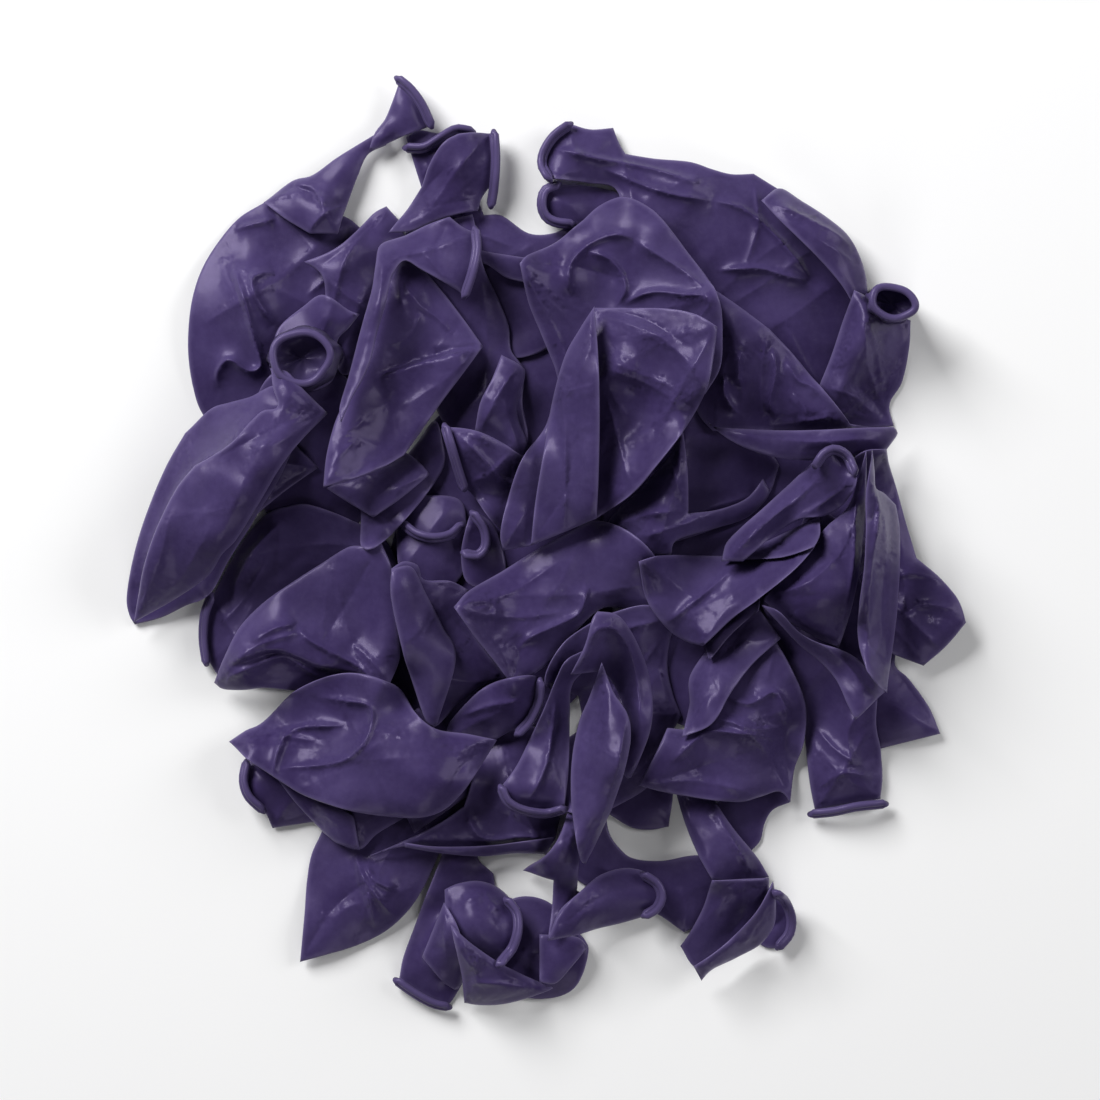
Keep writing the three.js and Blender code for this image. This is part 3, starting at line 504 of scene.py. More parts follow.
def open_mouth(at, half, turn, flare):
    """A mouth that stands open: a rolled rim on a neck with its wall inside and outside."""
    a = math.radians(turn)
    around = np.linspace(0, 2 * math.pi, 64, endpoint=False)
    wobble = 1 + 0.035 * np.sin(3 * around + 0.6) + 0.02 * np.sin(5 * around + 2.0)
    ring = np.column_stack([np.cos(around) * half[0] * wobble, np.sin(around) * half[1] * wobble])
    ring = ring @ np.array([[math.cos(a), math.sin(a)], [-math.sin(a), math.cos(a)]])
    at = np.array(at, float)
    rings = np.vstack([at + ring * size for size in (0.0, 0.2, 0.4, 0.6, 0.8)])
    base = float(read_map(heap, MAP_LOW, rings).max()) + 0.4
    top = base + MOUTH_HEIGHT + 0.5 * np.sin(2 * around + 1.0)
    pleat = np.sin(around * 5 + 1.6 * np.sin(around * 2)) + 0.5 * np.sin(around * 8 + 2.0)
    levels = []
    outside = ((flare, 0.0, 0.06), (1 + flare / 12, 0.4, 0.04), (1.04, 0.7, 0.02), (0.99, 0.94, 0.0))
    inside = ((0.95, -0.6, 0.0), (0.91, -1.2, 0.005), (0.88, -4.2, 0.02), (0.82, -7.2, 0.06),
              (0.5, -8.2, 0.12), (0.2, -8.5, 0.08))
    for size, rise, ripple in outside:
        wall = at + ring * (size + ripple * pleat)[:, None]
        foot = read_map(heap, MAP_LOW, wall) + 0.3
        levels.append(np.column_stack([wall, foot + (top - 0.6 - foot) * rise]))
    for size, depth, ripple in inside:
        levels.append(np.column_stack([at + ring * (size + ripple * pleat)[:, None], top + depth]))
    count = len(around)
    points = np.vstack(levels + [[[*at, base + 0.1]], [[*at, base - 0.6]]])
    faces = []
    last = (len(levels) - 1) * count
    for low in range(0, last, count):
        high = low + count
        for k in range(count):
            m = (k + 1) % count
            faces.append((low + k, low + m, high + m, high + k))
    for k in range(count):
        m = (k + 1) % count
        faces.append((last + k, last + m, len(points) - 2))
        faces.append((m, k, len(points) - 1))
    # the mouth walls get a fixed share of the painted highlight colour
    walls = points, faces, np.full(len(points), 0.35)
    bead = tube(np.column_stack([at + ring * 0.96, top]), RIM_RADIUS, 12)
    return walls, bead


def tucked_neck(x, y, heading):
    """A neck tucked under its own body, as its outline: where it starts, and the way that it points."""
    a = math.radians(heading)
    half = NECK_WIDTH / 2
    corners = ((0, -half - 3, C), (NECK_LENGTH / 2, -half), (NECK_LENGTH, -half + 1, C),
               (NECK_LENGTH, half - 1, C), (NECK_LENGTH / 2, half), (0, half + 3, C))
    return [[x + s * math.cos(a) - t * math.sin(a), y + s * math.sin(a) + t * math.cos(a), *mark]
            for s, t, *mark in corners]


# The balloons from the lowest to the highest, each with its layers from its own lowest up.
BALLOONS = [
    dict(
        name="under_centre", dome=2.0,
        layers=[
            [[-50, 30, C], [-40, 44], [-22, 60], [-4, 74], [14, 62], [20, 34], [22, 8], [24, -26],
             [14, -52], [-4, -66], [-28, -70], [-48, -66], [-58, -46], [-60, -20], [-54, 4]],
        ],
    ),
    dict(
        name="under_right", dome=2.0,
        layers=[
            [[28, 14], [46, 34], [70, 46], [96, 42], [109, 22], [106, -4], [90, -24], [74, -40], [66, -60],
             [52, -66], [43, -60], [42, -46, C], [38, -30], [26, -12]],
        ],
    ),
    dict(
        name="top_behind",
        layers=[
            [[-50, 146, C], [-45, 148.5], [-38, 147.5], [-31, 149.5], [-26, 147.5, C], [-27, 137],
             [-24, 124], [-22, 118, C], [-15.5, 117.8], [-6, 111.5], [3, 111.5], [12, 115], [18, 108],
             [16, 90], [4, 72], [-12, 66], [-26, 70], [-38, 84], [-40, 100], [-36, 114], [-40, 124],
             [-44.5, 128, C], [-47, 136]],
            [[-30, 108, C], [-22, 104.5], [-6, 102, C], [-6, 93, C], [-14, 95], [-22, 100], [-30, 98, C]],
        ],
        rim=[[-49, 142], [-43, 142], [-38, 145], [-32, 148.5], [-27, 148]],
    ),
    dict(
        name="upper_left",
        layers=[
            [[-101, 122.5, C], [-110, 117], [-117, 109], [-123, 99], [-126.5, 88], [-128, 76], [-128, 66],
             [-126.5, 56], [-123.5, 47], [-115, 36], [-102, 30], [-88, 33], [-76, 45], [-68, 62], [-64, 80],
             [-64, 98], [-66, 113, C], [-71, 117], [-80, 120], [-92, 123]],
            [[-101, 122.3, C], [-91, 130], [-83.5, 132], [-75, 138], [-68, 142.5], [-61, 147],
             [-58, 150, C], [-57, 143, C], [-63.5, 139.5], [-67, 132], [-70, 124], [-72, 118, C],
             [-74, 110.5, C], [-84, 110.5, C], [-93, 116]],
            [[-63, 141, C], [-61, 147], [-57.5, 152], [-54.5, 159], [-52.5, 165, C], [-46, 158],
             [-41, 150, C], [-45, 148], [-53, 145], [-60, 141.5]],
        ],
        rim=[[-52, 166], [-48, 162.5], [-44, 157], [-41, 150.5]],
    ),
    dict(
        name="open_mouth_left",
        layers=[
            [[-100, 58], [-86, 66], [-72, 60], [-62, 44], [-60, 24], [-68, 6], [-82, 2], [-96, 6],
             [-104, 20], [-105, 42]],
            [[-86, 100.5, C], [-77, 104], [-70, 109], [-62, 118], [-57, 121, C], [-52, 115.5, C],
             [-50, 108], [-50, 96], [-52, 84], [-60, 72], [-72, 60], [-78, 76], [-79, 94]],
            [[-97.5, 68], [-95, 77], [-86.5, 84.5], [-79, 88.5], [-70, 83], [-66, 81.5, C], [-70, 76.5],
             [-74, 72], [-74, 62], [-78, 56], [-86, 54], [-94, 57], [-98, 62]],
        ],
        mouth=dict(at=[-86, 65.5], half=[10.5, 9.3], turn=8, flare=1.26),
    ),
    dict(
        name="top_left",
        layers=[
            [[-50, 112, C], [-26, 118, C], [-24, 110], [-22, 99], [-17, 88], [-13, 78], [-12, 69],
             [-7.5, 62], [-8, 50], [-6, 38], [-8, 30], [-18, 26], [-30, 34], [-40, 50], [-46, 70],
             [-50, 90]],
            [[-31, 146, C], [-25, 146.8], [-19, 147, C], [-18.5, 135], [-19, 129, C], [-22.5, 124],
             [-24, 119, C], [-33, 117], [-41, 114.3], [-48, 111.5], [-56, 111, C], [-50, 119],
             [-44, 128, C], [-41, 136], [-36, 143]],
            [[-25, 40, C], [-23, 50], [-19, 58], [-15.5, 67, C], [-9, 63.5], [-7, 60], [-10, 47],
             [-6.5, 36], [-8, 30, C], [-16, 34]],
        ],
        rim=[[-18, 146], [-17.5, 138], [-18, 129], [-19, 122]],
    ),
    dict(
        name="centre_back",
        layers=[
            [[16, 112], [34, 118], [44, 100], [56, 80], [66, 58], [78, 38], [84, 28, C], [80, 17], [70, 9],
             [58, 4], [46, 0], [34, -6, C], [21.5, 5, C], [18, 22], [12, 44], [10, 70], [10, 92]],
            [[3, 128.5], [-1, 125], [-1.5, 120], [2, 116], [9, 113.7], [16, 114], [30, 108], [36, 112],
             [34, 122], [27, 126], [15, 128.5]],
            [[21.5, 5, C], [25, 11], [36, 22], [44, 31], [49, 41, C], [50.5, 25], [51, 10.5, C],
             [62, 12], [72, 16], [78, 23, C], [80, 17], [72, 9], [60, 5], [47, 1], [45, -4.3, C],
             [38, -4.5], [33, -6, C]],
        ],
        rim=[[4, 128], [0, 126], [-1, 121], [0.5, 117], [4, 115], [9, 114.3]],
    ),
    dict(
        name="upper_right",
        layers=[
            [[0, 130, C], [-2.5, 135], [-1.5, 141], [3, 147], [9, 150.5, C], [16, 148.5],
             [24.5, 149.2, C], [27, 143], [29, 139.8, C], [40, 138], [52, 136.8], [60, 134.2],
             [67, 132.5], [75, 132.8, C], [82, 128.5], [91, 123], [100, 117], [108, 110.5],
             [113, 102], [115.2, 93], [115, 84], [112.5, 72], [108, 60], [103.5, 52, C], [92, 44],
             [76, 44], [60, 54], [48, 72], [38, 94], [28, 108], [26, 126], [15, 129]],
            [[77, 122, C], [84, 127], [92, 122.5], [101, 116.5], [108.5, 110], [113, 102], [115.2, 93],
             [115, 84], [112.5, 72], [108, 60], [103.5, 52, C], [109, 64], [112, 78], [108, 88], [101, 97],
             [92, 106], [84, 114]],
        ],
        rim=[[1, 130.5], [-1.2, 135], [-0.5, 140], [3, 145.5], [8, 149.3]],
    ),
    dict(
        name="right_folded",
        layers=[
            [[110, 90, C], [131.5, 80, C], [131, 70], [128.5, 58], [124, 50], [125.5, 42, C], [100, 40, C],
             [98, 56, C], [102, 66], [106, 78]],
            [[59, 91, C], [70, 83.5], [80, 76, C], [88, 68], [98, 56], [109, 42.5, C], [125.5, 40.5, C],
             [60, 40, C], [55, 46], [52, 56], [56, 68], [60, 80]],
            [[58, 43.5, C], [62, 41], [90, 40], [124.5, 41.5, C], [126, 39], [122, 33.5, C], [117, 31],
             [106, 30], [95, 29.3], [82, 30.3], [70, 34], [62, 39]],
        ],
        mouth=dict(at=[123, 85], half=[8, 5.6], turn=-14, flare=1.16),
    ),
    dict(
        name="lower_left_tip",
        layers=[
            tucked_neck(-58, -88, 100),
            [[-80, -103], [-84, -112], [-85.7, -122], [-86.5, -135], [-88, -150.5, C], [-79, -148],
             [-68, -144.8], [-58, -140], [-50, -133], [-44, -124.5], [-39, -114], [-36, -104], [-38, -88],
             [-50, -78], [-66, -80], [-76, -90]],
        ],
    ),
    dict(
        name="bottom_left",
        layers=[
            [[-52.5, -157, C], [-44, -162.5], [-35, -166.5, C], [-33, -164], [-30, -159, C], [-27, -148],
             [-22, -136], [-18, -126], [-18.5, -119, C], [-24, -112], [-10, -104], [-4, -92], [-10, -76],
             [-26, -70], [-40, -76], [-46, -90], [-42, -104], [-37, -112, C], [-42.5, -126], [-47, -138],
             [-51, -149]],
        ],
        rim=[[-52.5, -157.5], [-46, -162], [-40, -165.2], [-35.5, -166.2]],
    ),
    dict(
        name="bottom_centre",
        layers=[
            [[-12, -128], [1, -129], [14, -142, C], [15.7, -146], [13.5, -155], [9.5, -161], [2, -163.8],
             [-8, -163.5], [-20, -160], [-26, -150], [-22, -138]],
            [[-36, -124, C], [-31, -121.8], [-24, -121], [-17, -123.5], [-11.5, -129], [-9, -136],
             [-10.5, -143], [-15, -149.5], [-22, -152], [-30, -148], [-35, -138]],
            [[-36, -128, C], [-40, -138], [-44, -148, C], [-36, -158, C], [-31, -160], [-28, -148],
             [-31, -136]],
            [[-33.5, -135, C], [-24, -143.5], [-12, -152], [1, -158.7, C], [3, -159.5], [-4, -162.5],
             [-14, -165.3], [-24, -165.8], [-29, -165, C], [-30, -152]],
            [[-2, -140, C], [11, -141], [15.3, -144.5, C], [10, -151], [4, -157.5], [-2, -157, C]],
        ],
        rim=[[-13, -128], [-10, -132], [-9.5, -138], [-11.5, -144.5], [-15.5, -149]],
    ),
    dict(
        name="left_low",
        layers=[
            [[-107.5, -79, C], [-108.5, -86], [-106, -92], [-101, -96], [-98, -102.5, C], [-90, -101.3],
             [-82, -100.5], [-79, -103.5, C], [-74, -107.5], [-66, -109.5], [-60, -104], [-50, -98],
             [-40, -90], [-44, -76], [-60, -68], [-80, -70], [-96, -76]],
            [[-96, -84, C], [-90, -92], [-84, -99], [-79, -104, C], [-74, -107.5], [-66, -109.5, C],
             [-68, -97, C], [-80, -90]],
        ],
        rim=[[-107, -79.5], [-107.8, -85], [-106, -90.5], [-101.5, -95]],
    ),
    dict(
        name="low_fold",
        layers=[
            tucked_neck(-34, -95, 125),
            [[-64.5, -112.5, C], [-50, -106], [-38, -100], [-29, -94, C], [-27, -88], [-24, -78],
             [-18, -68, C], [-4, -66], [2, -76], [6, -92], [4, -105, C], [0.5, -111.5, C],
             [-10, -111.2], [-22, -112.3], [-36, -110.8], [-50, -108.3]],
            [[-50, -106.5, C], [-38, -108], [-20, -108], [-5, -106], [4, -105, C], [0.5, -111.5, C],
             [-10, -111.2], [-22, -112.3], [-36, -110.8], [-50, -108.3, C]],
        ],
    ),
    dict(
        name="bottom_right",
        layers=[
            [[5, -104], [14, -96], [22, -96, C], [23, -104], [27, -110], [32, -113.5], [42, -114.3],
             [55, -112.3], [64, -116], [66, -126], [58, -136], [50, -140, C], [39, -132.8], [24, -128],
             [8, -118]],
            [[70, -86, C], [88, -86, C], [88, -93.3, C], [82, -96], [79, -101], [77.5, -107], [74, -111, C],
             [66, -104], [62, -94]],
            [[46, -86, C], [50, -100], [54.5, -111], [59.5, -120, C], [70, -122], [80.5, -120, C],
             [76, -112.5], [67, -101.5], [58, -88, C]],
            [[59.5, -120, C], [57, -130], [52, -140], [48.7, -145, C], [54, -152.5], [62, -149],
             [73, -140], [80, -128], [80.5, -120, C]],
            [[81, -123.5, C], [86.5, -127.5], [89.5, -134], [89, -140], [85, -145.3], [80, -145.7],
             [76, -143.5, C], [76, -134]],
            [[81, -120, C], [74.5, -131.5], [65, -142], [53, -151, C], [56, -156.7, C], [60, -152.5],
             [68, -149], [77, -144], [82, -136], [82, -126]],
        ],
        rim=[[82.5, -124.5], [86, -128], [88.5, -134], [88, -140], [84.5, -144.5]],
    ),
    dict(
        name="bottom_middle",
        layers=[
            [[30, -56], [40, -58], [44, -68], [46, -89.5, C], [44.5, -102, C], [38, -103.2], [31, -102.3],
             [23, -97.5, C], [18, -84], [22, -68]],
            [[24, -78, C], [12, -84], [8, -96], [5, -104], [0, -111], [-8, -117.5, C], [3, -120.5, C],
             [2.5, -130], [1, -141.3, C], [14, -128], [11.5, -124.5, C], [12.3, -112], [14, -102],
             [24, -96, C]],
            [[1, -141.3, C], [5, -131], [12, -124.5], [20, -118.5], [29, -116.3], [37, -118.3],
             [42.3, -123.5], [42, -129], [38, -133], [30, -135.6], [22, -137.5], [10, -140]],
        ],
        rim=[[36, -118.8], [40, -121.5], [41.8, -126], [40, -130.5], [36.5, -132.8]],
    ),
    dict(
        name="far_right",
        layers=[
            tucked_neck(104, -8, 195),
            [[104, -28], [118, -28], [126, -36], [126, -44], [131, -49], [138, -59], [142, -68.5, C],
             [132, -71], [120.7, -74, C], [112, -72], [104, -60]],
            [[112, 32], [121.5, 33.5, C], [125.5, 22], [129, 9], [133, -5.3, C], [141, -12], [147, -19],
             [149.3, -24], [150.5, -28.5, C], [143.5, -37], [135.7, -44, C], [124, -39.5], [108, -32],
             [98, -16], [98, 6], [104, 22]],
        ],
    ),
    dict(
        name="left_middle",
        layers=[
            [[-100, 10.5], [-92, 13.2], [-86, 14], [-78, 11.8], [-69, 8], [-58, 2], [-52, -12], [-54, -34],
             [-66, -48], [-90, -52], [-112, -50], [-117.5, -48, C], [-120.5, -43.3, C], [-122, -36],
             [-121.5, -24], [-119.5, -19, C], [-114, -8], [-108, 2]],
            [[-58, 0, C], [-64, -1], [-70, -1.5], [-80, -7.5], [-90, -14], [-100, -21], [-108, -29],
             [-113, -38], [-118.5, -50, C], [-115.5, -52.3], [-108, -52.6], [-100, -51.8], [-90, -52.8],
             [-80, -53.7], [-70, -52.4], [-60, -52.6], [-55, -50, C], [-51.5, -40], [-52.5, -24],
             [-54, -10]],
        ],
        rim=[[-120, -20], [-122, -26], [-122.5, -34], [-121.5, -42]],
    ),
    dict(
        name="centre_left",
        layers=[
            [[-52, 14], [-40, 17], [-30, 15], [-28, 4], [-30, -12], [-42, -20], [-52, -8]],
            [[-54, -9, C], [-50, -6.5], [-45, -8], [-43, -13], [-34, -13.5], [-27, -17, C], [-26, -30],
             [-20, -40], [-12, -49, C], [-20, -50], [-30, -57], [-38, -65, C], [-41, -65.5], [-45, -57],
             [-49, -45], [-52, -30], [-54.5, -18]],
            [[-54, -9, C], [-47, -8.5], [-42, -18], [-36, -30], [-31.5, -41], [-38.5, -65, C], [-42, -64],
             [-47, -50], [-51, -35], [-54, -20]],
        ],
        rim=[[-50, 6.5], [-46, 3.5], [-40, 2], [-34, 3], [-30.5, 6]],
    ),
    dict(
        name="centre_slab",
        layers=[
            [[-26, 12, C], [-20, 8], [-17, 4], [-14, -10], [-20, -16], [-28, -14], [-30, -4], [-28, 6]],
            [[-32, -22.5, C], [-27, -17], [-16, -10.5], [-4, -3], [8, 3.5], [18, 8], [30, 4], [40, -6],
             [44, -18], [40, -30], [30, -25], [22, -23], [16, -26.5], [9, -34], [2, -42], [-6, -48],
             [-12, -50, C], [-19, -40.5], [-26.5, -30.5]],
        ],
        rim=[[-25, 10], [-21.5, 5], [-21, -1], [-24, -4.5], [-28, -4]],
    ),
    dict(
        name="left_leaf",
        layers=[
            [[-34.5, -64.5, C], [-28, -57], [-21, -51], [-12, -47.5], [-4, -47], [-0.5, -50, C], [-1, -57],
             [-4.5, -64], [-8.5, -69, C], [-11, -66.5, C], [-17, -70, C], [-27, -72], [-36, -72]],
            [[-113, -71, C], [-107, -67], [-101, -64], [-88, -52], [-70, -46], [-54, -50], [-46, -60],
             [-38, -66], [-27, -67.8], [-17, -70, C], [-22, -78], [-28.5, -87.5], [-35, -94], [-42, -96.8],
             [-52, -97.2], [-64, -95.7], [-75, -93], [-86, -89.5], [-95, -84], [-105, -77.5]],
        ],
        rim=[[-1.5, -50], [-2, -56], [-5, -63], [-9, -67.5]],
    ),
    dict(
        name="centre_arch",
        layers=[
            [[20, -26, C], [36, -22], [48, -26, C], [45, -34], [44, -44], [46, -54], [49, -62, C],
             [44, -72], [40, -84], [30, -92], [16, -97], [2, -92], [2, -76], [14, -66, C], [12, -55, C],
             [0, -50], [6, -36]],
            [[14, -38, C], [7.5, -41.5], [4, -48], [0, -58], [-5, -69], [-10, -79], [-15.5, -86.5, C],
             [-13.5, -92], [-8, -95], [0, -96.5], [7, -94, C], [8.5, -80], [9, -62], [10, -50], [18, -42]],
            [[9, -46.5, C], [14, -36], [16.5, -27], [18.5, -24, C], [25, -25], [29, -29], [33, -36],
             [36.5, -45], [38.3, -56], [37.5, -66], [34, -76], [30, -84], [27, -78], [30, -66], [28, -58],
             [24, -50], [20, -46]],
            [[20, -42, C], [24.5, -53], [29, -60], [30.2, -68], [28, -80], [24, -93], [19.5, -104],
             [14.5, -114, C], [12.5, -112], [10.5, -102], [9.2, -90], [9.5, -77], [12, -64], [16, -54]],
        ],
        rim=[[-15, -87.5], [-13, -91.5], [-8, -94.5], [0, -96], [6, -94.5]],
    ),
    dict(
        name="right_low",
        layers=[
            [[77, -21.5, C], [86, -10], [98, -2], [110, -8], [117, -28], [119, -48], [118.5, -64],
             [120.5, -74], [121.3, -84], [120.5, -92, C], [108, -94], [97, -96, C], [95, -86], [93.6, -72],
             [93, -57], [86.5, -42], [80, -30]],
        ],
        rim=[[96.5, -97], [104, -96], [112, -94.2], [121, -93.5]],
    ),
    dict(
        name="right_bowl",
        layers=[
            tucked_neck(67, -51, 268),
            [[80, -31, C], [71, -39], [63, -49.5], [58, -60], [54.5, -65], [50, -66.3], [43.5, -65.7, C],
             [39, -75], [33, -86, C], [41, -88.3], [51, -90.3], [61, -91.8], [70, -92.5], [77, -90.8],
             [84, -89], [88, -93, C], [89.5, -82], [93, -70], [93, -57], [87, -43]],
            [[76, -23, C], [62, -34], [52, -47], [51.5, -58], [48.5, -69, C], [59, -64], [66, -53],
             [74, -43], [84, -34, C]],
        ],
    ),
    dict(
        name="left_diagonal",
        layers=[
            tucked_neck(-92, 38, 225),
            [[-95, 56], [-105, 52.3], [-113, 50.3], [-120, 48], [-129.5, 39.5, C], [-136, 28], [-141.5, 15],
             [-146, 2], [-149, -10], [-150.5, -20], [-149.5, -26], [-147.5, -29.3, C], [-138, -26.8],
             [-129, -22.5], [-120, -18.5], [-113, -6], [-104, 8], [-94, 24], [-88, 38], [-84, 48]],
            [[-123.5, 27.3, C], [-117, 30.8], [-109, 36], [-104, 42], [-99.5, 46.5], [-94, 48], [-96, 55],
             [-97, 62, C], [-91, 60.5], [-85, 54], [-77, 46, C], [-86, 36], [-94, 24.5], [-101, 13],
             [-109, 1], [-114, -4], [-120, -12], [-132, -20], [-147, -28.3, C], [-144.5, -17], [-141, -5],
             [-136, 8], [-130, 19.5]],
        ],
    ),
    dict(
        name="upper_centre_left",
        layers=[
            [[-66, 12, C], [-65.5, 0], [-63, -2.7, C], [-59, -1], [-50, 8], [-41.5, 18.5], [-36, 28],
             [-36.5, 36], [-39.5, 44], [-46, 36],
             [-56, 24]],
            [[-78, 19.5, C], [-70, 14.3], [-61, 9, C], [-51, 16], [-41, 24.5, C], [-45, 29], [-50.5, 33, C],
             [-60, 30]],
            [[-51, 103, C], [-44, 98], [-36, 89], [-28, 78.5], [-22, 70, C], [-29, 60], [-37, 49.5],
             [-44, 39.5], [-50, 31, C], [-58, 26.3], [-68, 22.3], [-78, 19.5, C], [-77, 31], [-74, 43],
             [-69, 54], [-63.5, 68], [-59.5, 82], [-56, 94]],
            [[-58.5, 106], [-50, 109.5], [-42, 113.5], [-34, 116.3, C], [-29, 112.5], [-24.5, 110.5, C],
             [-24, 104], [-26, 95], [-28.5, 88, C], [-36, 92.5], [-44, 97], [-50, 100], [-54, 94],
             [-56, 84], [-59, 74], [-62, 62], [-68, 50], [-71.5, 42, C], [-72, 48], [-69, 60],
             [-65.5, 74], [-61.5, 88], [-60, 98]],
        ],
        rim=[[-24.5, 110.5], [-24, 104], [-25.5, 96], [-28, 88.5]],
    ),
    dict(
        name="centre_top",
        layers=[
            [[-36, 41.3, C], [-29, 40.8], [-22, 39], [-14, 35], [-7, 30.5], [6, 26], [8, 14], [-4, 6],
             [-16, 5, C], [-20, 9], [-25.5, 17, C], [-28.5, 19.5, C], [-31, 29]],
            [[-9, 99, C], [-6, 102.3], [3, 107], [12, 114], [19, 120.5], [26, 123.5], [32, 122.5],
             [39, 118], [45, 111], [52, 101.5], [58, 93], [61.8, 84], [62.7, 73], [62, 62], [57, 53, C],
             [44, 48], [24, 46], [8, 52], [3, 64], [-2, 76], [-6, 86]],
            [[17.5, 83.7, C], [30, 83.2], [44, 82.3], [53, 80], [60.3, 75.5, C], [59, 65], [57, 55],
             [53, 46], [47.5, 37.5], [40, 28], [31, 17.5], [18.3, 8.7, C], [6, 3.5], [-5, -1, C],
             [-14.8, -2.7, C], [-15.8, 4], [-12.5, 18], [-8, 30], [0, 41.5], [3.5, 54], [7, 66],
             [12.5, 76]],
            [[17.5, 83.7, C], [18.8, 65], [19.3, 45], [19, 25], [18.3, 8.7, C], [6, 3.5], [-5, -1, C],
             [-3.5, 14], [-0.5, 32], [2.5, 50], [7, 66], [12.5, 76]],
        ],
        rim=[[-35, 40.5], [-33, 34], [-31, 27], [-29, 20.5]],
    ),
    dict(
        name="right_upright",
        layers=[
            tucked_neck(108, 6, 236),
            [[77, -20, C], [84, -12], [92, -3], [100, 6], [108, 14], [113, 33, C], [114, 10], [112, -4],
             [109, -20], [106.5, -30], [104.3, -37.3, C], [95, -33], [85, -27]],
            [[76, -21.7, C], [82, -24], [89, -31], [96, -35], [104, -37.5], [112, -42], [121, -53, C],
             [116, -57], [109.8, -62.7, C], [107, -57], [103.5, -49], [98, -42.5], [90, -36], [84, -30]],
            [[114.5, 33, C], [115.5, 25], [116, 19.5], [120, 17.5], [124.5, 13.5, C], [126, 4],
             [126.3, -12], [125.2, -28], [123, -43], [121, -53, C], [116.5, -49.5], [113, -45, C],
             [110.8, -36], [110, -22], [111.5, -8], [112, 6], [112, 18]],
        ],
    ),
    dict(
        name="right_tube",
        layers=[
            [[55.5, -34, C], [66, -25], [76, -18, C], [75.5, -24, C], [66, -33], [58.5, -41.8, C]],
            [[33, -6.5, C], [39, -4.7], [46, -4.3], [58, -4.5], [70, -4.7], [84, -4], [94, -1.7],
             [97, 1, C], [88, -9], [76, -19], [66, -27], [56, -36.5, C], [50, -35], [43, -30], [36, -20]],
            [[80, 1, C], [97.5, 9.5, C], [97, 3], [94.5, -1.5, C], [84, -5], [70, -6], [62.5, -6.5, C],
             [70, -2]],
            [[62.5, -6.5, C], [64.5, 0], [70, 6], [78, 13], [87, 21], [95, 29], [99, 32.5], [104, 33],
             [108.3, 28.5], [109.3, 21], [106, 14], [99, 9.5], [91, 8.5], [82, 3.5], [70, -6.5, C]],
        ],
        rim=[[95.5, 28], [98, 31.5], [102, 33], [106.5, 30.5], [108.5, 25.5]],
    ),
]


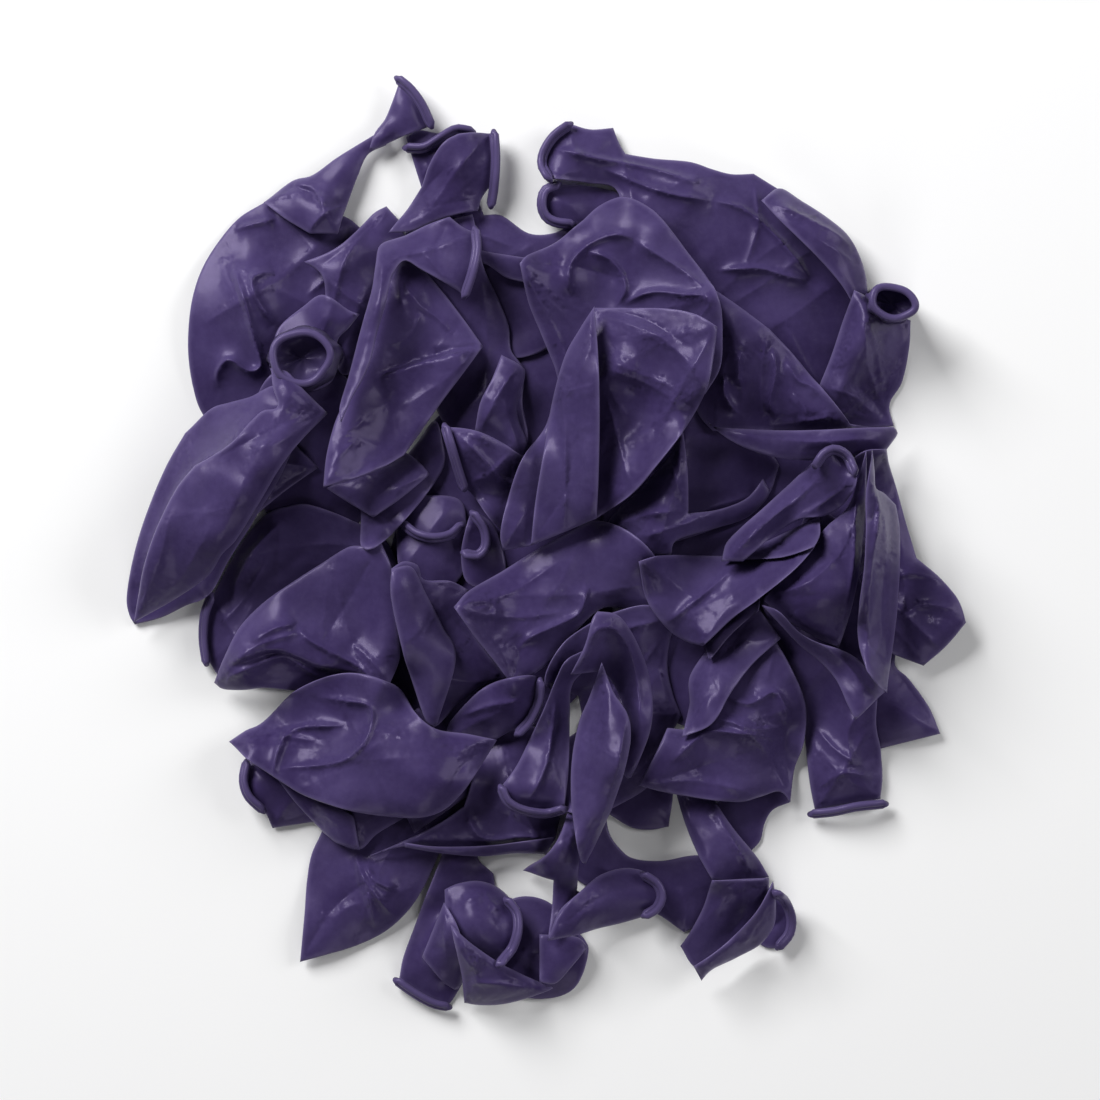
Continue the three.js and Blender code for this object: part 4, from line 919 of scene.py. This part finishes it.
# The folds and wrinkles pressed into a layer: its number, the kind, how high, how wide, and the line.
# A ridge has a narrow crest on a soft rise, and a crease falls off at one rate from its line.
# A lap is the step where one part of the film lies over the next. The small corner folds, which
# corner_folds makes, can also be valleys, which are creases turned down.
FOLDS = {
    "upper_left": [
        (0, "ridge", 1.8, 1.8, [[-112, 100], [-106.5, 85], [-103, 70], [-101.5, 63], [-106, 61.5],
                                [-113, 65.5], [-117.5, 60], [-116, 55]]),
        (0, "ridge", 1.4, 1.8, [[-97, 97], [-104, 95], [-103, 88], [-97, 78]]),
        (0, "ridge", 1.4, 2.2, [[-111, 113], [-104, 114.5], [-97, 116]]),
        (1, "lap", 1.2, 6.0, [[-91, 128.5], [-83, 126], [-79, 118]]),
        (1, "ridge", 1.2, 1.6, [[-84.5, 111], [-79, 117], [-73, 120.5]]),
    ],
    "left_diagonal": [
        (1, "ridge", 2.4, 2.6, [[-92, 48], [-100, 46], [-106, 38.5], [-113, 33], [-119, 30.5], [-124, 27],
                                [-130, 20.5], [-135, 10], [-139, 0], [-142, -12], [-146, -26]]),
        (1, "ridge", 1.4, 2.2, [[-124, 27], [-122, 15], [-118, 5], [-114, -2]]),
        (0, "ridge", 1.3, 2.2, [[-130, 39], [-124, 32], [-117, 33]]),
        (1, "ridge", 1.5, 2.5, [[-117, 27], [-103, 17], [-98, 14]]),
        (1, "ridge", 1.3, 1.8, [[-96, 61], [-93, 50], [-92, 42], [-86, 40]]),
    ],
    "left_middle": [
        (1, "lap", 1.5, 7.0, [[-114, -44], [-105, -41], [-97, -38.5], [-90, -40], [-80, -44.5],
                              [-66, -46.5]]),
        (1, "ridge", 1.3, 1.6, [[-113, -48], [-100, -42.5], [-92, -40.5], [-80, -48.5]]),
        (1, "ridge", 1.3, 2.0, [[-88, -28.5], [-84, -34], [-75, -39], [-66, -44], [-60, -50]]),
        (1, "ridge", 1.2, 1.8, [[-88, -28.5], [-95, -30], [-104, -35]]),
        (0, "ridge", 0.9, 2.4, [[-112, -18], [-104, -2], [-94, 8]]),
        (0, "ridge", 0.8, 3.0, [[-117, -30], [-108, -20], [-100, -6]]),
    ],
    "centre_slab": [
        (1, "ridge", 1.8, 2.2, [[15, -14], [13, -24], [7, -28], [0, -31], [-6, -34], [-10, -38]]),
        (1, "ridge", 1.0, 3.0, [[-31, -22], [-25, -20], [-18, -22], [-17, -28]]),
    ],
    "centre_top": [
        (1, "ridge", 1.8, 2.0, [[9, 88], [8.5, 97], [12, 103], [18, 107.5], [26, 109.5], [32, 107.5]]),
        (1, "ridge", 1.6, 1.8, [[15, 103.5], [22, 101.5], [27, 96], [28.5, 90], [26, 84.5]]),
        (1, "ridge", 1.5, 2.0, [[32, 107], [40, 102], [48, 97], [56, 90]]),
        (1, "ridge", 1.5, 1.8, [[28, 85], [34, 88], [40, 89], [50, 87.5], [56, 87], [58, 84], [55, 80.5]]),
        (3, "ridge", 1.0, 1.8, [[6.5, 58], [6, 50], [7, 35], [7, 5]]),
        (3, "ridge", 1.0, 1.8, [[-1, 41], [-3, 25], [-4.5, -1.5]]),
        (2, "crease", 1.0, 2.2, [[20, 62], [38, 55], [48, 47]]),
        (2, "crease", 1.0, 2.2, [[20, 65], [30, 61], [46, 54.5]]),
        (2, "crease", 1.2, 2.0, [[20, 81], [30, 77], [40, 72.5], [50, 63], [54.5, 54]]),
        (2, "ridge", 1.0, 2.0, [[21, 53], [25, 40], [28, 27], [29, 20]]),
        (2, "crease", 0.9, 2.2, [[20, 62], [24, 52], [31, 42]]),
        (0, "ridge", 1.0, 1.6, [[-30, 38], [-22, 30], [-14, 22], [-6, 20]]),
        (0, "ridge", 0.8, 1.4, [[-27, 22], [-20, 24], [-12, 32]]),
    ],
    "upper_right": [
        (0, "ridge", 1.4, 1.6, [[2, 141.5], [15, 138], [28, 136], [40, 133.5], [50, 130], [56, 128.5]]),
        (0, "ridge", 1.5, 1.8, [[20, 134.5], [30, 130], [40, 126], [50, 123.5], [60, 122.5]]),
        (0, "ridge", 1.6, 2.0, [[60, 122.5], [70, 120], [78, 114], [84, 108], [90, 101], [95.5, 94]]),
        (0, "ridge", 1.5, 1.8, [[62, 97.5], [70, 98], [78, 98], [86, 95.5], [94, 93.5]]),
        (1, "ridge", 1.4, 1.8, [[80, 121], [90, 117], [100, 112], [107, 108], [110, 104.5]]),
        (1, "ridge", 1.2, 1.6, [[95, 98], [100, 93], [102, 88], [100, 80], [97, 73]]),
    ],
    "right_folded": [
        (1, "ridge", 1.6, 1.6, [[69, 68], [68.5, 56]]),
        (1, "ridge", 1.6, 1.6, [[64, 60], [63.5, 54], [66, 49], [69, 46]]),
        (1, "ridge", 1.6, 1.6, [[81, 70], [82, 60], [80, 50], [83, 44.5]]),
        (1, "ridge", 1.4, 1.6, [[86, 65], [90, 58], [95, 56], [98, 52]]),
        (1, "ridge", 1.3, 1.6, [[90, 44], [95, 43.5], [102, 45]]),
        (2, "ridge", 1.0, 1.6, [[62, 41.5], [75, 38], [95, 36], [115, 37]]),
    ],
    "far_right": [
        (2, "ridge", 1.1, 2.2, [[124, -12], [132, -11], [143, -14]]),
        (2, "ridge", 1.1, 2.2, [[126, -26], [136, -22], [147, -24]]),
        (2, "ridge", 1.1, 2.4, [[122, -20], [133, -30], [141, -38]]),
    ],
    "right_upright": [
        (2, "ridge", 1.0, 2.0, [[82, -26], [92, -33], [104, -40], [114, -52]]),
        (3, "ridge", 1.2, 2.0, [[119, 14], [120, -4], [119, -24], [119, -40]]),
        (3, "ridge", 1.6, 1.3, [[115, 28], [116.5, 12], [115, -4], [113.5, -22], [114, -36]]),
        (1, "ridge", 1.5, 1.2, [[112, 26], [110, 16], [109.5, 0], [107, -18], [104.5, -32]]),
        (1, "ridge", 1.0, 2.0, [[80, -18], [92, -14], [104, -4]]),
    ],
    "right_bowl": [
        (1, "ridge", 1.4, 2.0, [[45, -78], [52, -71], [58, -67], [70, -67.5], [86, -70]]),
        (1, "ridge", 1.4, 2.0, [[62, -54], [72, -57], [77, -55], [82, -53], [86, -60], [86, -66]]),
        (1, "ridge", 1.2, 2.2, [[50, -64], [60, -62], [75, -66], [87, -66]]),
    ],
    "right_tube": [
        (1, "ridge", 1.4, 1.8, [[70, -6], [60, -15], [50, -23], [43, -29]]),
        (3, "ridge", 1.2, 2.2, [[66, -4], [76, 6], [88, 15], [98, 24]]),
        (3, "ridge", 0.9, 1.8, [[74, -3], [86, 6], [98, 14], [106, 20]]),
    ],
    "left_leaf": [
        (1, "ridge", 1.8, 2.0, [[-92, -87], [-96, -82], [-95, -74], [-92, -68], [-86, -65.5], [-78, -65],
                                [-70, -65]]),
        (1, "ridge", 1.6, 2.0, [[-82, -55], [-70, -56], [-63, -57], [-61, -60], [-62, -67], [-66, -73],
                                [-72, -77], [-82, -79], [-95, -80]]),
        (0, "ridge", 1.1, 1.8, [[-30, -62], [-20, -58], [-8, -56]]),
    ],
    "lower_left_tip": [
        (1, "ridge", 1.4, 1.8, [[-64, -114], [-61, -120], [-53, -124]]),
        (1, "ridge", 1.5, 1.8, [[-68, -111], [-66, -117], [-60, -126], [-53, -135]]),
        (1, "ridge", 1.2, 1.8, [[-66, -117], [-62, -130], [-61, -139]]),
    ],
    "low_fold": [
        (1, "ridge", 1.4, 1.8, [[-28, -94], [-26, -101], [-20, -106], [-8, -105], [3, -106]]),
    ],
    "centre_arch": [
        (3, "ridge", 1.4, 1.8, [[29, -61], [27, -70], [24, -85], [19, -100], [15, -112]]),
        (1, "ridge", 1.2, 2.2, [[4, -52], [3, -66], [0, -80], [-6, -92]]),
        (2, "ridge", 1.4, 1.6, [[11, -44], [17, -32], [24, -30], [30, -38], [33, -52], [33, -66]]),
    ],
    "bottom_middle": [
        (2, "ridge", 1.4, 1.8, [[11, -125], [6, -131], [1.5, -137.5]]),
    ],
    "bottom_left": [
        (0, "ridge", 1.4, 1.8, [[-35, -132], [-40, -140], [-43, -148], [-38, -155], [-34, -158]]),
    ],
    "upper_centre_left": [
        (2, "lap", 2.2, 6.0, [[-23, 69.5], [-32, 67.5], [-44, 64.5], [-52, 62], [-60, 58.5]]),
        (2, "ridge", 0.9, 2.0, [[-50, 92], [-44, 84], [-38, 80], [-33, 74]]),
        (2, "ridge", 0.8, 2.0, [[-54, 70], [-48, 74], [-44, 82]]),
    ],
    "centre_back": [
        (2, "ridge", 1.2, 1.4, [[50, 42], [50.5, 28], [51, 12]]),
        (2, "ridge", 1.0, 1.4, [[44, 30], [47, 20], [51, 11]]),
        (2, "ridge", 0.9, 1.6, [[33, 2], [45, 5], [60, 11], [74, 19]]),
        (2, "ridge", 0.8, 1.6, [[24, 6], [36, 10], [48, 11]]),
    ],
    "top_left": [
        (2, "ridge", 1.0, 1.6, [[-22, 42], [-18, 50], [-12, 60]]),
    ],
    "bottom_right": [
        (2, "ridge", 1.2, 1.8, [[60, -94], [67, -106], [74, -118]]),
        (5, "ridge", 1.0, 1.6, [[78, -126], [68, -138], [58, -148]]),
    ],
    "bottom_centre": [
        (1, "ridge", 1.0, 1.6, [[-30, -128], [-22, -126], [-15, -132]]),
        (3, "ridge", 1.1, 1.8, [[-32, -137], [-18, -150], [-4, -159]]),
        (3, "ridge", 0.8, 1.6, [[-28, -156], [-14, -157], [-2, -160]]),
    ],
    "right_low": [
        (0, "ridge", 0.8, 1.6, [[97, -66], [104, -74], [114, -80]]),
        (0, "ridge", 0.8, 1.6, [[98, -88], [106, -82], [118, -84]]),
        (0, "ridge", 0.8, 1.6, [[112, -60], [108, -68], [110, -80]]),
    ],
}


# Where a layer stands off the ones below it: its number, how high, how far round,
# and the place, or the line of its places.
LIFTS = {
    "left_diagonal": [
        (2, 9, 20, [[-92, 28]]), (2, 6, 16, [[-106, 6]]), (2, 6, 22, [[-132, 4]]),
        (1, 4, 30, [[-120, 0]]), (2, 5, 8, [[-124, 27], [-130, 20], [-136, 8], [-141, -6], [-146, -26]]),
        (2, 6, 11, [[-97, 60], [-78, 46], [-90, 30], [-101, 13], [-112, -3]]),
    ],
    "open_mouth_left": [
        (1, 4, 22, [[-64, 104]]),
    ],
    "upper_centre_left": [
        (2, 9, 16, [[-77, 20]]), (2, 8, 20, [[-70, 44]]), (2, 6, 22, [[-34, 55]]),
        (1, 4, 14, [[-70, 16]]), (3, 7, 22, [[-62, 62]]), (3, 5, 20, [[-54, 92]]),
        (3, 5, 14, [[-26, 92]]), (2, 7, 10, [[-78, 20], [-72, 43], [-62, 64], [-56, 82]]),
        (3, 4, 8, [[-71, 44], [-65, 74], [-60, 98]]), (2, 4, 9, [[-29, 60], [-44, 40], [-58, 26]]),
    ],
    "top_left": [
        (1, 4, 18, [[-44, 130]]), (1, 4, 14, [[-20, 138]]), (2, 5, 12, [[-14, 60]]),
    ],
    "centre_top": [
        (2, 8, 18, [[54, 52]]), (2, 7, 18, [[34, 22]]), (2, 5, 16, [[-14, 0]]), (3, 4, 22, [[17, 44]]),
        (2, 5, 18, [[42, 80]]), (1, 5, 20, [[58, 92]]), (1, 4, 18, [[-6, 96]]), (0, 6, 12, [[-34, 34]]),
        (2, 6, 10, [[60, 75], [57, 55], [47, 37], [31, 17]]),
        (1, 5, 10, [[45, 111], [58, 93], [62, 73], [57, 54]]), (1, 5, 10, [[-9, 98], [-6, 86], [3, 64]]),
        (3, 5, 8, [[17, 82], [18, 60], [18, 12]]), (2, 4, 9, [[-15, -2], [-12, 18], [0, 41], [7, 66]]),
    ],
    "centre_slab": [
        (1, 11, 16, [[-30, -24]]), (1, 6, 18, [[-2, -46]]), (1, 4, 20, [[6, -4]]),
        (1, 8, 10, [[-32, -22], [-24, -34], [-12, -49]]),
        (1, 5, 10, [[2, -42], [16, -26], [30, -25], [44, -18]]),
    ],
    "centre_left": [
        (1, 6, 14, [[-52, -12]]), (1, 5, 16, [[-28, -40]]), (2, 4, 18, [[-44, -40]]),
    ],
    "left_middle": [
        (1, 6, 20, [[-60, -8]]), (1, 5, 20, [[-104, -46]]), (1, 5, 16, [[-56, -44]]),
        (1, 5, 10, [[-58, 0], [-52, -24], [-55, -50]]), (1, 4, 9, [[-64, -1], [-90, -14], [-112, -38]]),
        (1, 3, 8, [[-108, -52], [-80, -53], [-60, -52]]),
    ],
    "left_leaf": [
        (1, 6, 16, [[-110, -72]]), (1, 4, 30, [[-60, -74]]), (1, 5, 18, [[-26, -74]]),
        (0, 4, 12, [[-6, -58]]),
        (1, 5, 10, [[-104, -77], [-86, -89], [-64, -95], [-42, -96], [-28, -87]]),
    ],
    "centre_arch": [
        (2, 9, 16, [[20, -28]]), (3, 10, 22, [[22, -80]]), (3, 6, 14, [[24, -56]]),
        (1, 5, 16, [[-10, -82]]), (3, 6, 7, [[24, -53], [21, -80], [16, -107]]),
        (2, 6, 6, [[11, -44], [18, -25], [29, -30], [37, -54], [33, -78]]),
    ],
    "right_bowl": [
        (1, 5, 16, [[44, -72]]), (1, 6, 20, [[88, -44]]), (1, 4, 16, [[66, -88]]),
        (2, 4, 14, [[58, -48]]), (1, 4, 9, [[63, -49], [52, -66], [36, -84]]),
        (1, 3, 8, [[41, -88], [61, -92], [84, -89]]),
    ],
    "right_upright": [
        (1, 10, 16, [[110, 24]]), (1, 8, 18, [[108, -20]]), (2, 5, 12, [[112, -58]]),
        (2, 6, 12, [[80, -24]]), (3, 9, 18, [[117, 12]]), (3, 6, 12, [[120, -46]]),
        (3, 7, 8, [[114, 32], [112, 6], [111, -20], [113, -44]]),
        (2, 4, 9, [[84, -30], [98, -42], [109, -62]]),
    ],
    "right_tube": [
        (1, 5, 14, [[36, -8]]), (1, 4, 12, [[58, -34]]), (3, 7, 14, [[100, 26]]), (3, 5, 14, [[72, 6]]),
        (3, 4, 8, [[63, -6], [78, 12], [95, 28]]), (1, 4, 9, [[97, 0], [76, -19], [56, -36]]),
    ],
    "upper_right": [
        (0, 5, 16, [[8, 140]]), (1, 5, 20, [[104, 108]]), (1, 5, 20, [[108, 70]]),
        (0, 4, 22, [[52, 128]]), (1, 5, 9, [[78, 121], [92, 106], [108, 88], [111, 72]]),
    ],
    "right_folded": [
        (2, 6, 20, [[80, 34]]), (2, 6, 14, [[118, 36]]), (1, 4, 18, [[64, 84]]),
        (2, 6, 8, [[66, 37], [82, 31], [106, 30], [122, 34]]),
        (1, 3, 8, [[60, 90], [80, 76], [98, 56], [109, 43]]),
    ],
    "centre_back": [
        (2, 7, 16, [[50, 26]]), (2, 6, 14, [[38, 2]]), (1, 4, 12, [[4, 122]]),
    ],
    "bottom_right": [
        (2, 6, 16, [[66, -110]]), (5, 6, 16, [[76, -128]]), (5, 4, 10, [[56, -150]]),
        (5, 5, 8, [[81, -120], [66, -142], [53, -151]]), (2, 4, 8, [[50, -98], [59, -119]]),
    ],
    "bottom_middle": [
        (1, 7, 14, [[8, -112]]), (2, 6, 18, [[20, -128]]), (1, 5, 8, [[11, -96], [4, -118], [2, -140]]),
    ],
    "bottom_centre": [
        (1, 6, 12, [[-24, -136]]), (3, 4, 12, [[-20, -160]]), (0, 4, 10, [[12, -150]]),
    ],
    "lower_left_tip": [
        (1, 4, 14, [[-84, -140]]), (1, 3, 16, [[-50, -124]]),
    ],
    "upper_left": [
        (0, 4, 24, [[-122, 80]]), (1, 4, 20, [[-72, 132]]), (2, 5, 10, [[-50, 158]]),
    ],
    "right_low": [
        (0, 5, 14, [[108, -84]]), (0, 4, 16, [[92, -40]]),
    ],
    "far_right": [
        (2, 5, 14, [[146, -28]]), (2, 4, 18, [[130, 10]]), (1, 3, 12, [[136, -66]]),
        (2, 4, 9, [[134, -6], [148, -24], [136, -43]]),
    ],
    "left_low": [
        (0, 4, 10, [[-104, -90]]),
    ],
    "low_fold": [
        (1, 4, 12, [[-2, -104]]), (1, 3, 14, [[-50, -106]]),
    ],
}


# ---- Material.

def new_group(name, inputs, outputs):
    """An empty node group with named sockets: (name, kind, default) in, and (name, kind) out."""
    group = bpy.data.node_groups.new(name, "ShaderNodeTree")
    for socket, kind, value in inputs:
        group.interface.new_socket(socket, in_out="INPUT", socket_type=kind).default_value = value
    for socket, kind in outputs:
        group.interface.new_socket(socket, in_out="OUTPUT", socket_type=kind)
    return group, group.nodes.new("NodeGroupInput"), group.nodes.new("NodeGroupOutput")


def noise_node(tree, coords, scale, detail=2.0, rough=0.5, warp=0.0):
    """Noise over the coordinates."""
    node = tree.nodes.new("ShaderNodeTexNoise")
    node.inputs["Scale"].default_value = scale
    node.inputs["Detail"].default_value = detail
    node.inputs["Roughness"].default_value = rough
    node.inputs["Distortion"].default_value = warp
    tree.links.new(coords, node.inputs["Vector"])
    return node.outputs["Fac"]


def ranged(tree, value, low, high, to_low, to_high):
    """A value carried from one range to another."""
    node = tree.nodes.new("ShaderNodeMapRange")
    for key, number in (("From Min", low), ("From Max", high), ("To Min", to_low), ("To Max", to_high)):
        node.inputs[key].default_value = number
    tree.links.new(value, node.inputs["Value"])
    return node.outputs["Result"]


def calc(tree, kind, a, b):
    """A sum or product of two sockets or numbers."""
    node = tree.nodes.new("ShaderNodeMath")
    node.operation = kind
    for k, value in enumerate((a, b)):
        if isinstance(value, (int, float)):
            node.inputs[k].default_value = value
        else:
            tree.links.new(value, node.inputs[k])
    return node.outputs[0]


def mixed(tree, amount, a, b):
    """Two colours mixed by an amount."""
    node = tree.nodes.new("ShaderNodeMix")
    node.data_type = "RGBA"
    tree.links.new(amount, node.inputs["Factor"])
    for key, value in (("A", a), ("B", b)):
        socket = [s for s in node.inputs if s.name == key and s.type == "RGBA"][0]
        if isinstance(value, (tuple, list)):
            socket.default_value = value
        else:
            tree.links.new(value, socket)
    return [s for s in node.outputs if s.type == "RGBA"][0]


def tone_and_edge_highlight_group():
    """The colour of dipped latex: deeper where the dip ran thick, paler where the film is stretched, with a
    painted highlight: a pale colour mixed in along the folded edges.
    """
    group, given, made = new_group(
        "dipped_tone_and_edge_highlight",
        [("Deep", "NodeSocketColor", (0, 0, 0, 1)), ("Thin", "NodeSocketColor", (0, 0, 0, 1)),
         ("EdgeHighlight", "NodeSocketColor", (0, 0, 0, 1)), ("Edge", "NodeSocketFloat", 0.0)],
        [("Color", "NodeSocketColor")])
    coords = group.nodes.new("ShaderNodeTexCoord").outputs["Object"]
    cloud = ranged(group, noise_node(group, coords, 38.0, 3.0, 0.55, 0.4), 0.3, 0.7, 0.0, 0.55)
    speck = ranged(group, noise_node(group, coords, 420.0, 2.0, 0.6), 0.35, 0.75, -0.08, 0.12)
    amount = ranged(group, calc(group, "ADD", cloud, speck), 0.0, 1.0, 0.0, 1.0)
    film = mixed(group, amount, given.outputs["Deep"], given.outputs["Thin"])
    # painted highlight: folded edges, rims and mouth walls are mixed towards a pale colour for the light
    # that their rounded surfaces catch
    line = ranged(group, given.outputs["Edge"], 0.15, 0.9, 0.0, 0.8)
    color = mixed(group, line, film, given.outputs["EdgeHighlight"])
    group.links.new(color, made.inputs["Color"])
    return group


def powder_group():
    """The dusting of release powder on the film, in soft clouds and fine specks."""
    group, given, made = new_group(
        "release_powder", [("Amount", "NodeSocketFloat", 1.0)], [("Mask", "NodeSocketFloat")])
    coords = group.nodes.new("ShaderNodeTexCoord").outputs["Object"]
    cloud = ranged(group, noise_node(group, coords, 60.0, 4.0, 0.6, 0.6), 0.4, 0.75, 0.0, 1.0)
    speck = ranged(group, noise_node(group, coords, 900.0, 2.0, 0.7), 0.5, 0.8, 0.3, 1.0)
    mask = calc(group, "MULTIPLY", calc(group, "MULTIPLY", cloud, speck), given.outputs["Amount"])
    group.links.new(mask, made.inputs["Mask"])
    return group


def crinkle_group():
    """The film's own fine relief: shallow crinkles and the grain of the dipped skin."""
    group, given, made = new_group(
        "skin_crinkle", [("Grain", "NodeSocketFloat", 1.0)], [("Height", "NodeSocketFloat")])
    coords = group.nodes.new("ShaderNodeTexCoord").outputs["Object"]
    soft = calc(group, "MULTIPLY", noise_node(group, coords, 130.0, 2.0, 0.5, 0.8), 0.5)
    skin = calc(group, "MULTIPLY", noise_node(group, coords, 1400.0, 2.0, 0.6), given.outputs["Grain"])
    skin = calc(group, "MULTIPLY", skin, 0.06)
    group.links.new(calc(group, "ADD", soft, skin), made.inputs["Height"])
    return group


GROUPS = {"tone": tone_and_edge_highlight_group(), "powder": powder_group(), "crinkle": crinkle_group()}


def place_group(tree, key):
    """A copy of a named group in a material."""
    node = tree.nodes.new("ShaderNodeGroup")
    node.node_tree = GROUPS[key]
    return node


def latex_material(name, deep, thin, edge_highlight, roughness):
    """Dipped latex: cloudy colour with a painted highlight that pales it at the folded edges, and a little
    release powder.
    """
    material = bpy.data.materials.new(name)
    material.use_nodes = True
    tree = material.node_tree
    shader = tree.nodes["Principled BSDF"]
    # the edge attribute sets each point's share of the painted highlight colour
    edge = tree.nodes.new("ShaderNodeAttribute")
    edge.attribute_name = "edge"
    tone = place_group(tree, "tone")
    tone.inputs["Deep"].default_value = (*deep, 1)
    tone.inputs["Thin"].default_value = (*thin, 1)
    tone.inputs["EdgeHighlight"].default_value = (*edge_highlight, 1)
    tree.links.new(edge.outputs["Fac"], tone.inputs["Edge"])
    powder = place_group(tree, "powder")
    powder.inputs["Amount"].default_value = 0.35
    dusted = mixed(tree, calc(tree, "MULTIPLY", powder.outputs["Mask"], 0.16), tone.outputs["Color"],
                   (0.32, 0.29, 0.42, 1))
    tree.links.new(dusted, shader.inputs["Base Color"])
    rough = ranged(tree, powder.outputs["Mask"], 0.0, 0.35, roughness, roughness + 0.12)
    tree.links.new(rough, shader.inputs["Roughness"])
    crinkle = place_group(tree, "crinkle")
    bump = tree.nodes.new("ShaderNodeBump")
    bump.inputs["Strength"].default_value = 0.15
    bump.inputs["Distance"].default_value = 0.0009
    tree.links.new(crinkle.outputs["Height"], bump.inputs["Height"])
    tree.links.new(bump.outputs["Normal"], shader.inputs["Normal"])
    shader.inputs["Specular IOR Level"].default_value = 0.19
    shader.inputs["Specular Tint"].default_value = (0.74, 0.62, 1.0, 1)
    shader.inputs["Coat Weight"].default_value = 0.04
    shader.inputs["Coat Roughness"].default_value = 0.15
    shader.inputs["Sheen Weight"].default_value = 0.03
    shader.inputs["Sheen Roughness"].default_value = 0.5
    shader.inputs["Sheen Tint"].default_value = (0.6, 0.55, 0.8, 1)
    return material


# deep and thin film colours, the painted highlight colour of the folded edges, and the roughness
LATEX = latex_material("violet_latex", (0.035, 0.0225, 0.082), (0.072, 0.052, 0.151),
                       (0.120, 0.094, 0.210), 0.35)


# ---- Pieces.

def join_parts(parts):
    """One set of points, faces and edge values from several."""
    points, faces, edges, start = [], [], [], 0
    for p, f, e in parts:
        points.append(p)
        edges.append(e)
        faces += [tuple(int(k) + start for k in face) for face in f]
        start += len(p)
    return np.vstack(points), faces, np.concatenate(edges)


def make_piece(name, parts, body, node):
    """One balloon as a mesh in metres, which rides its body and stands in for its node."""
    points, faces, edges = join_parts(parts)
    mesh = bpy.data.meshes.new(name)
    mesh.from_pydata((points / 1000).tolist(), [], faces)
    # edge: each point's share of the painted highlight colour
    mesh.attributes.new("edge", "FLOAT", "POINT").data.foreach_set("value", edges.astype(np.float32))
    mesh.shade_smooth()
    mesh.materials.append(LATEX)
    piece = bpy.data.objects.new(name, mesh)
    bpy.context.scene.collection.objects.link(piece)
    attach(piece, body)
    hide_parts(node)


BODY_OF = {node: body for body, nodes in frame["record"]["behaviour"]["bodies"].items() for node in nodes}

for order, balloon in enumerate(BALLOONS):
    name = balloon["name"]
    parts = []
    for layer, marks in enumerate(balloon["layers"]):
        folds = [fold[1:] for fold in FOLDS.get(name, []) if fold[0] == layer]
        lifts = [lift[1:] for lift in LIFTS.get(name, []) if lift[0] == layer]
        film = Film(marks, folds, lifts, 10 * order + layer, balloon.get("dome", DOME))
        parts.append(film.mesh())
    if "rim" in balloon:
        parts.append(flat_rim(balloon["rim"]))
    if "mouth" in balloon:
        parts += open_mouth(**balloon["mouth"])
    make_piece("film_" + name, parts, BODY_OF["balloon_" + name], "balloon_" + name)


# ---- Floor, light and camera.

def make_floor():
    """A wide pale table top, just under the heap."""
    bpy.ops.object.select_all(action="DESELECT")
    bpy.ops.mesh.primitive_plane_add(size=6, location=(0, 0, -0.0002))
    floor = bpy.context.object
    floor.name = "floor"
    paper = bpy.data.materials.new("pale_table")
    paper.use_nodes = True
    shader = paper.node_tree.nodes["Principled BSDF"]
    shader.inputs["Base Color"].default_value = (0.90, 0.90, 0.905, 1)
    shader.inputs["Roughness"].default_value = 0.7
    floor.data.materials.append(paper)


def soft_light(name, place, size, power):
    """A square soft box aimed at the heap."""
    light = bpy.data.lights.new(name, "AREA")
    light.size = size
    light.energy = power
    lamp = bpy.data.objects.new(name, light)
    lamp.location = place
    lamp.rotation_euler = (-Vector(place)).to_track_quat("-Z", "Y").to_euler()
    bpy.context.scene.collection.objects.link(lamp)


def make_camera():
    """Straight above the heap, with +Y up the picture."""
    camera = bpy.data.cameras.new("camera")
    camera.sensor_width = 36
    height, view_width = 1.3, 0.396
    camera.lens = camera.sensor_width * height / view_width
    eye = bpy.data.objects.new("camera", camera)
    eye.location = (0.0018, -0.0025, height)
    bpy.context.scene.collection.objects.link(eye)
    bpy.context.scene.camera = eye


def make_room():
    """Even white light from all round."""
    world = bpy.data.worlds.new("room")
    world.use_nodes = True
    background = world.node_tree.nodes["Background"]
    background.inputs["Color"].default_value = (1, 1, 1, 1)
    background.inputs["Strength"].default_value = 0.085
    bpy.context.scene.world = world


make_floor()
make_camera()
make_room()
soft_light("key", (-1.05, 1.25, 1.15), 1.0, 54)
soft_light("side", (1.5, 0.5, 0.9), 0.9, 13)
soft_light("front", (0.2, -1.5, 0.9), 0.8, 5)
bpy.context.scene.view_settings.view_transform = "Standard"
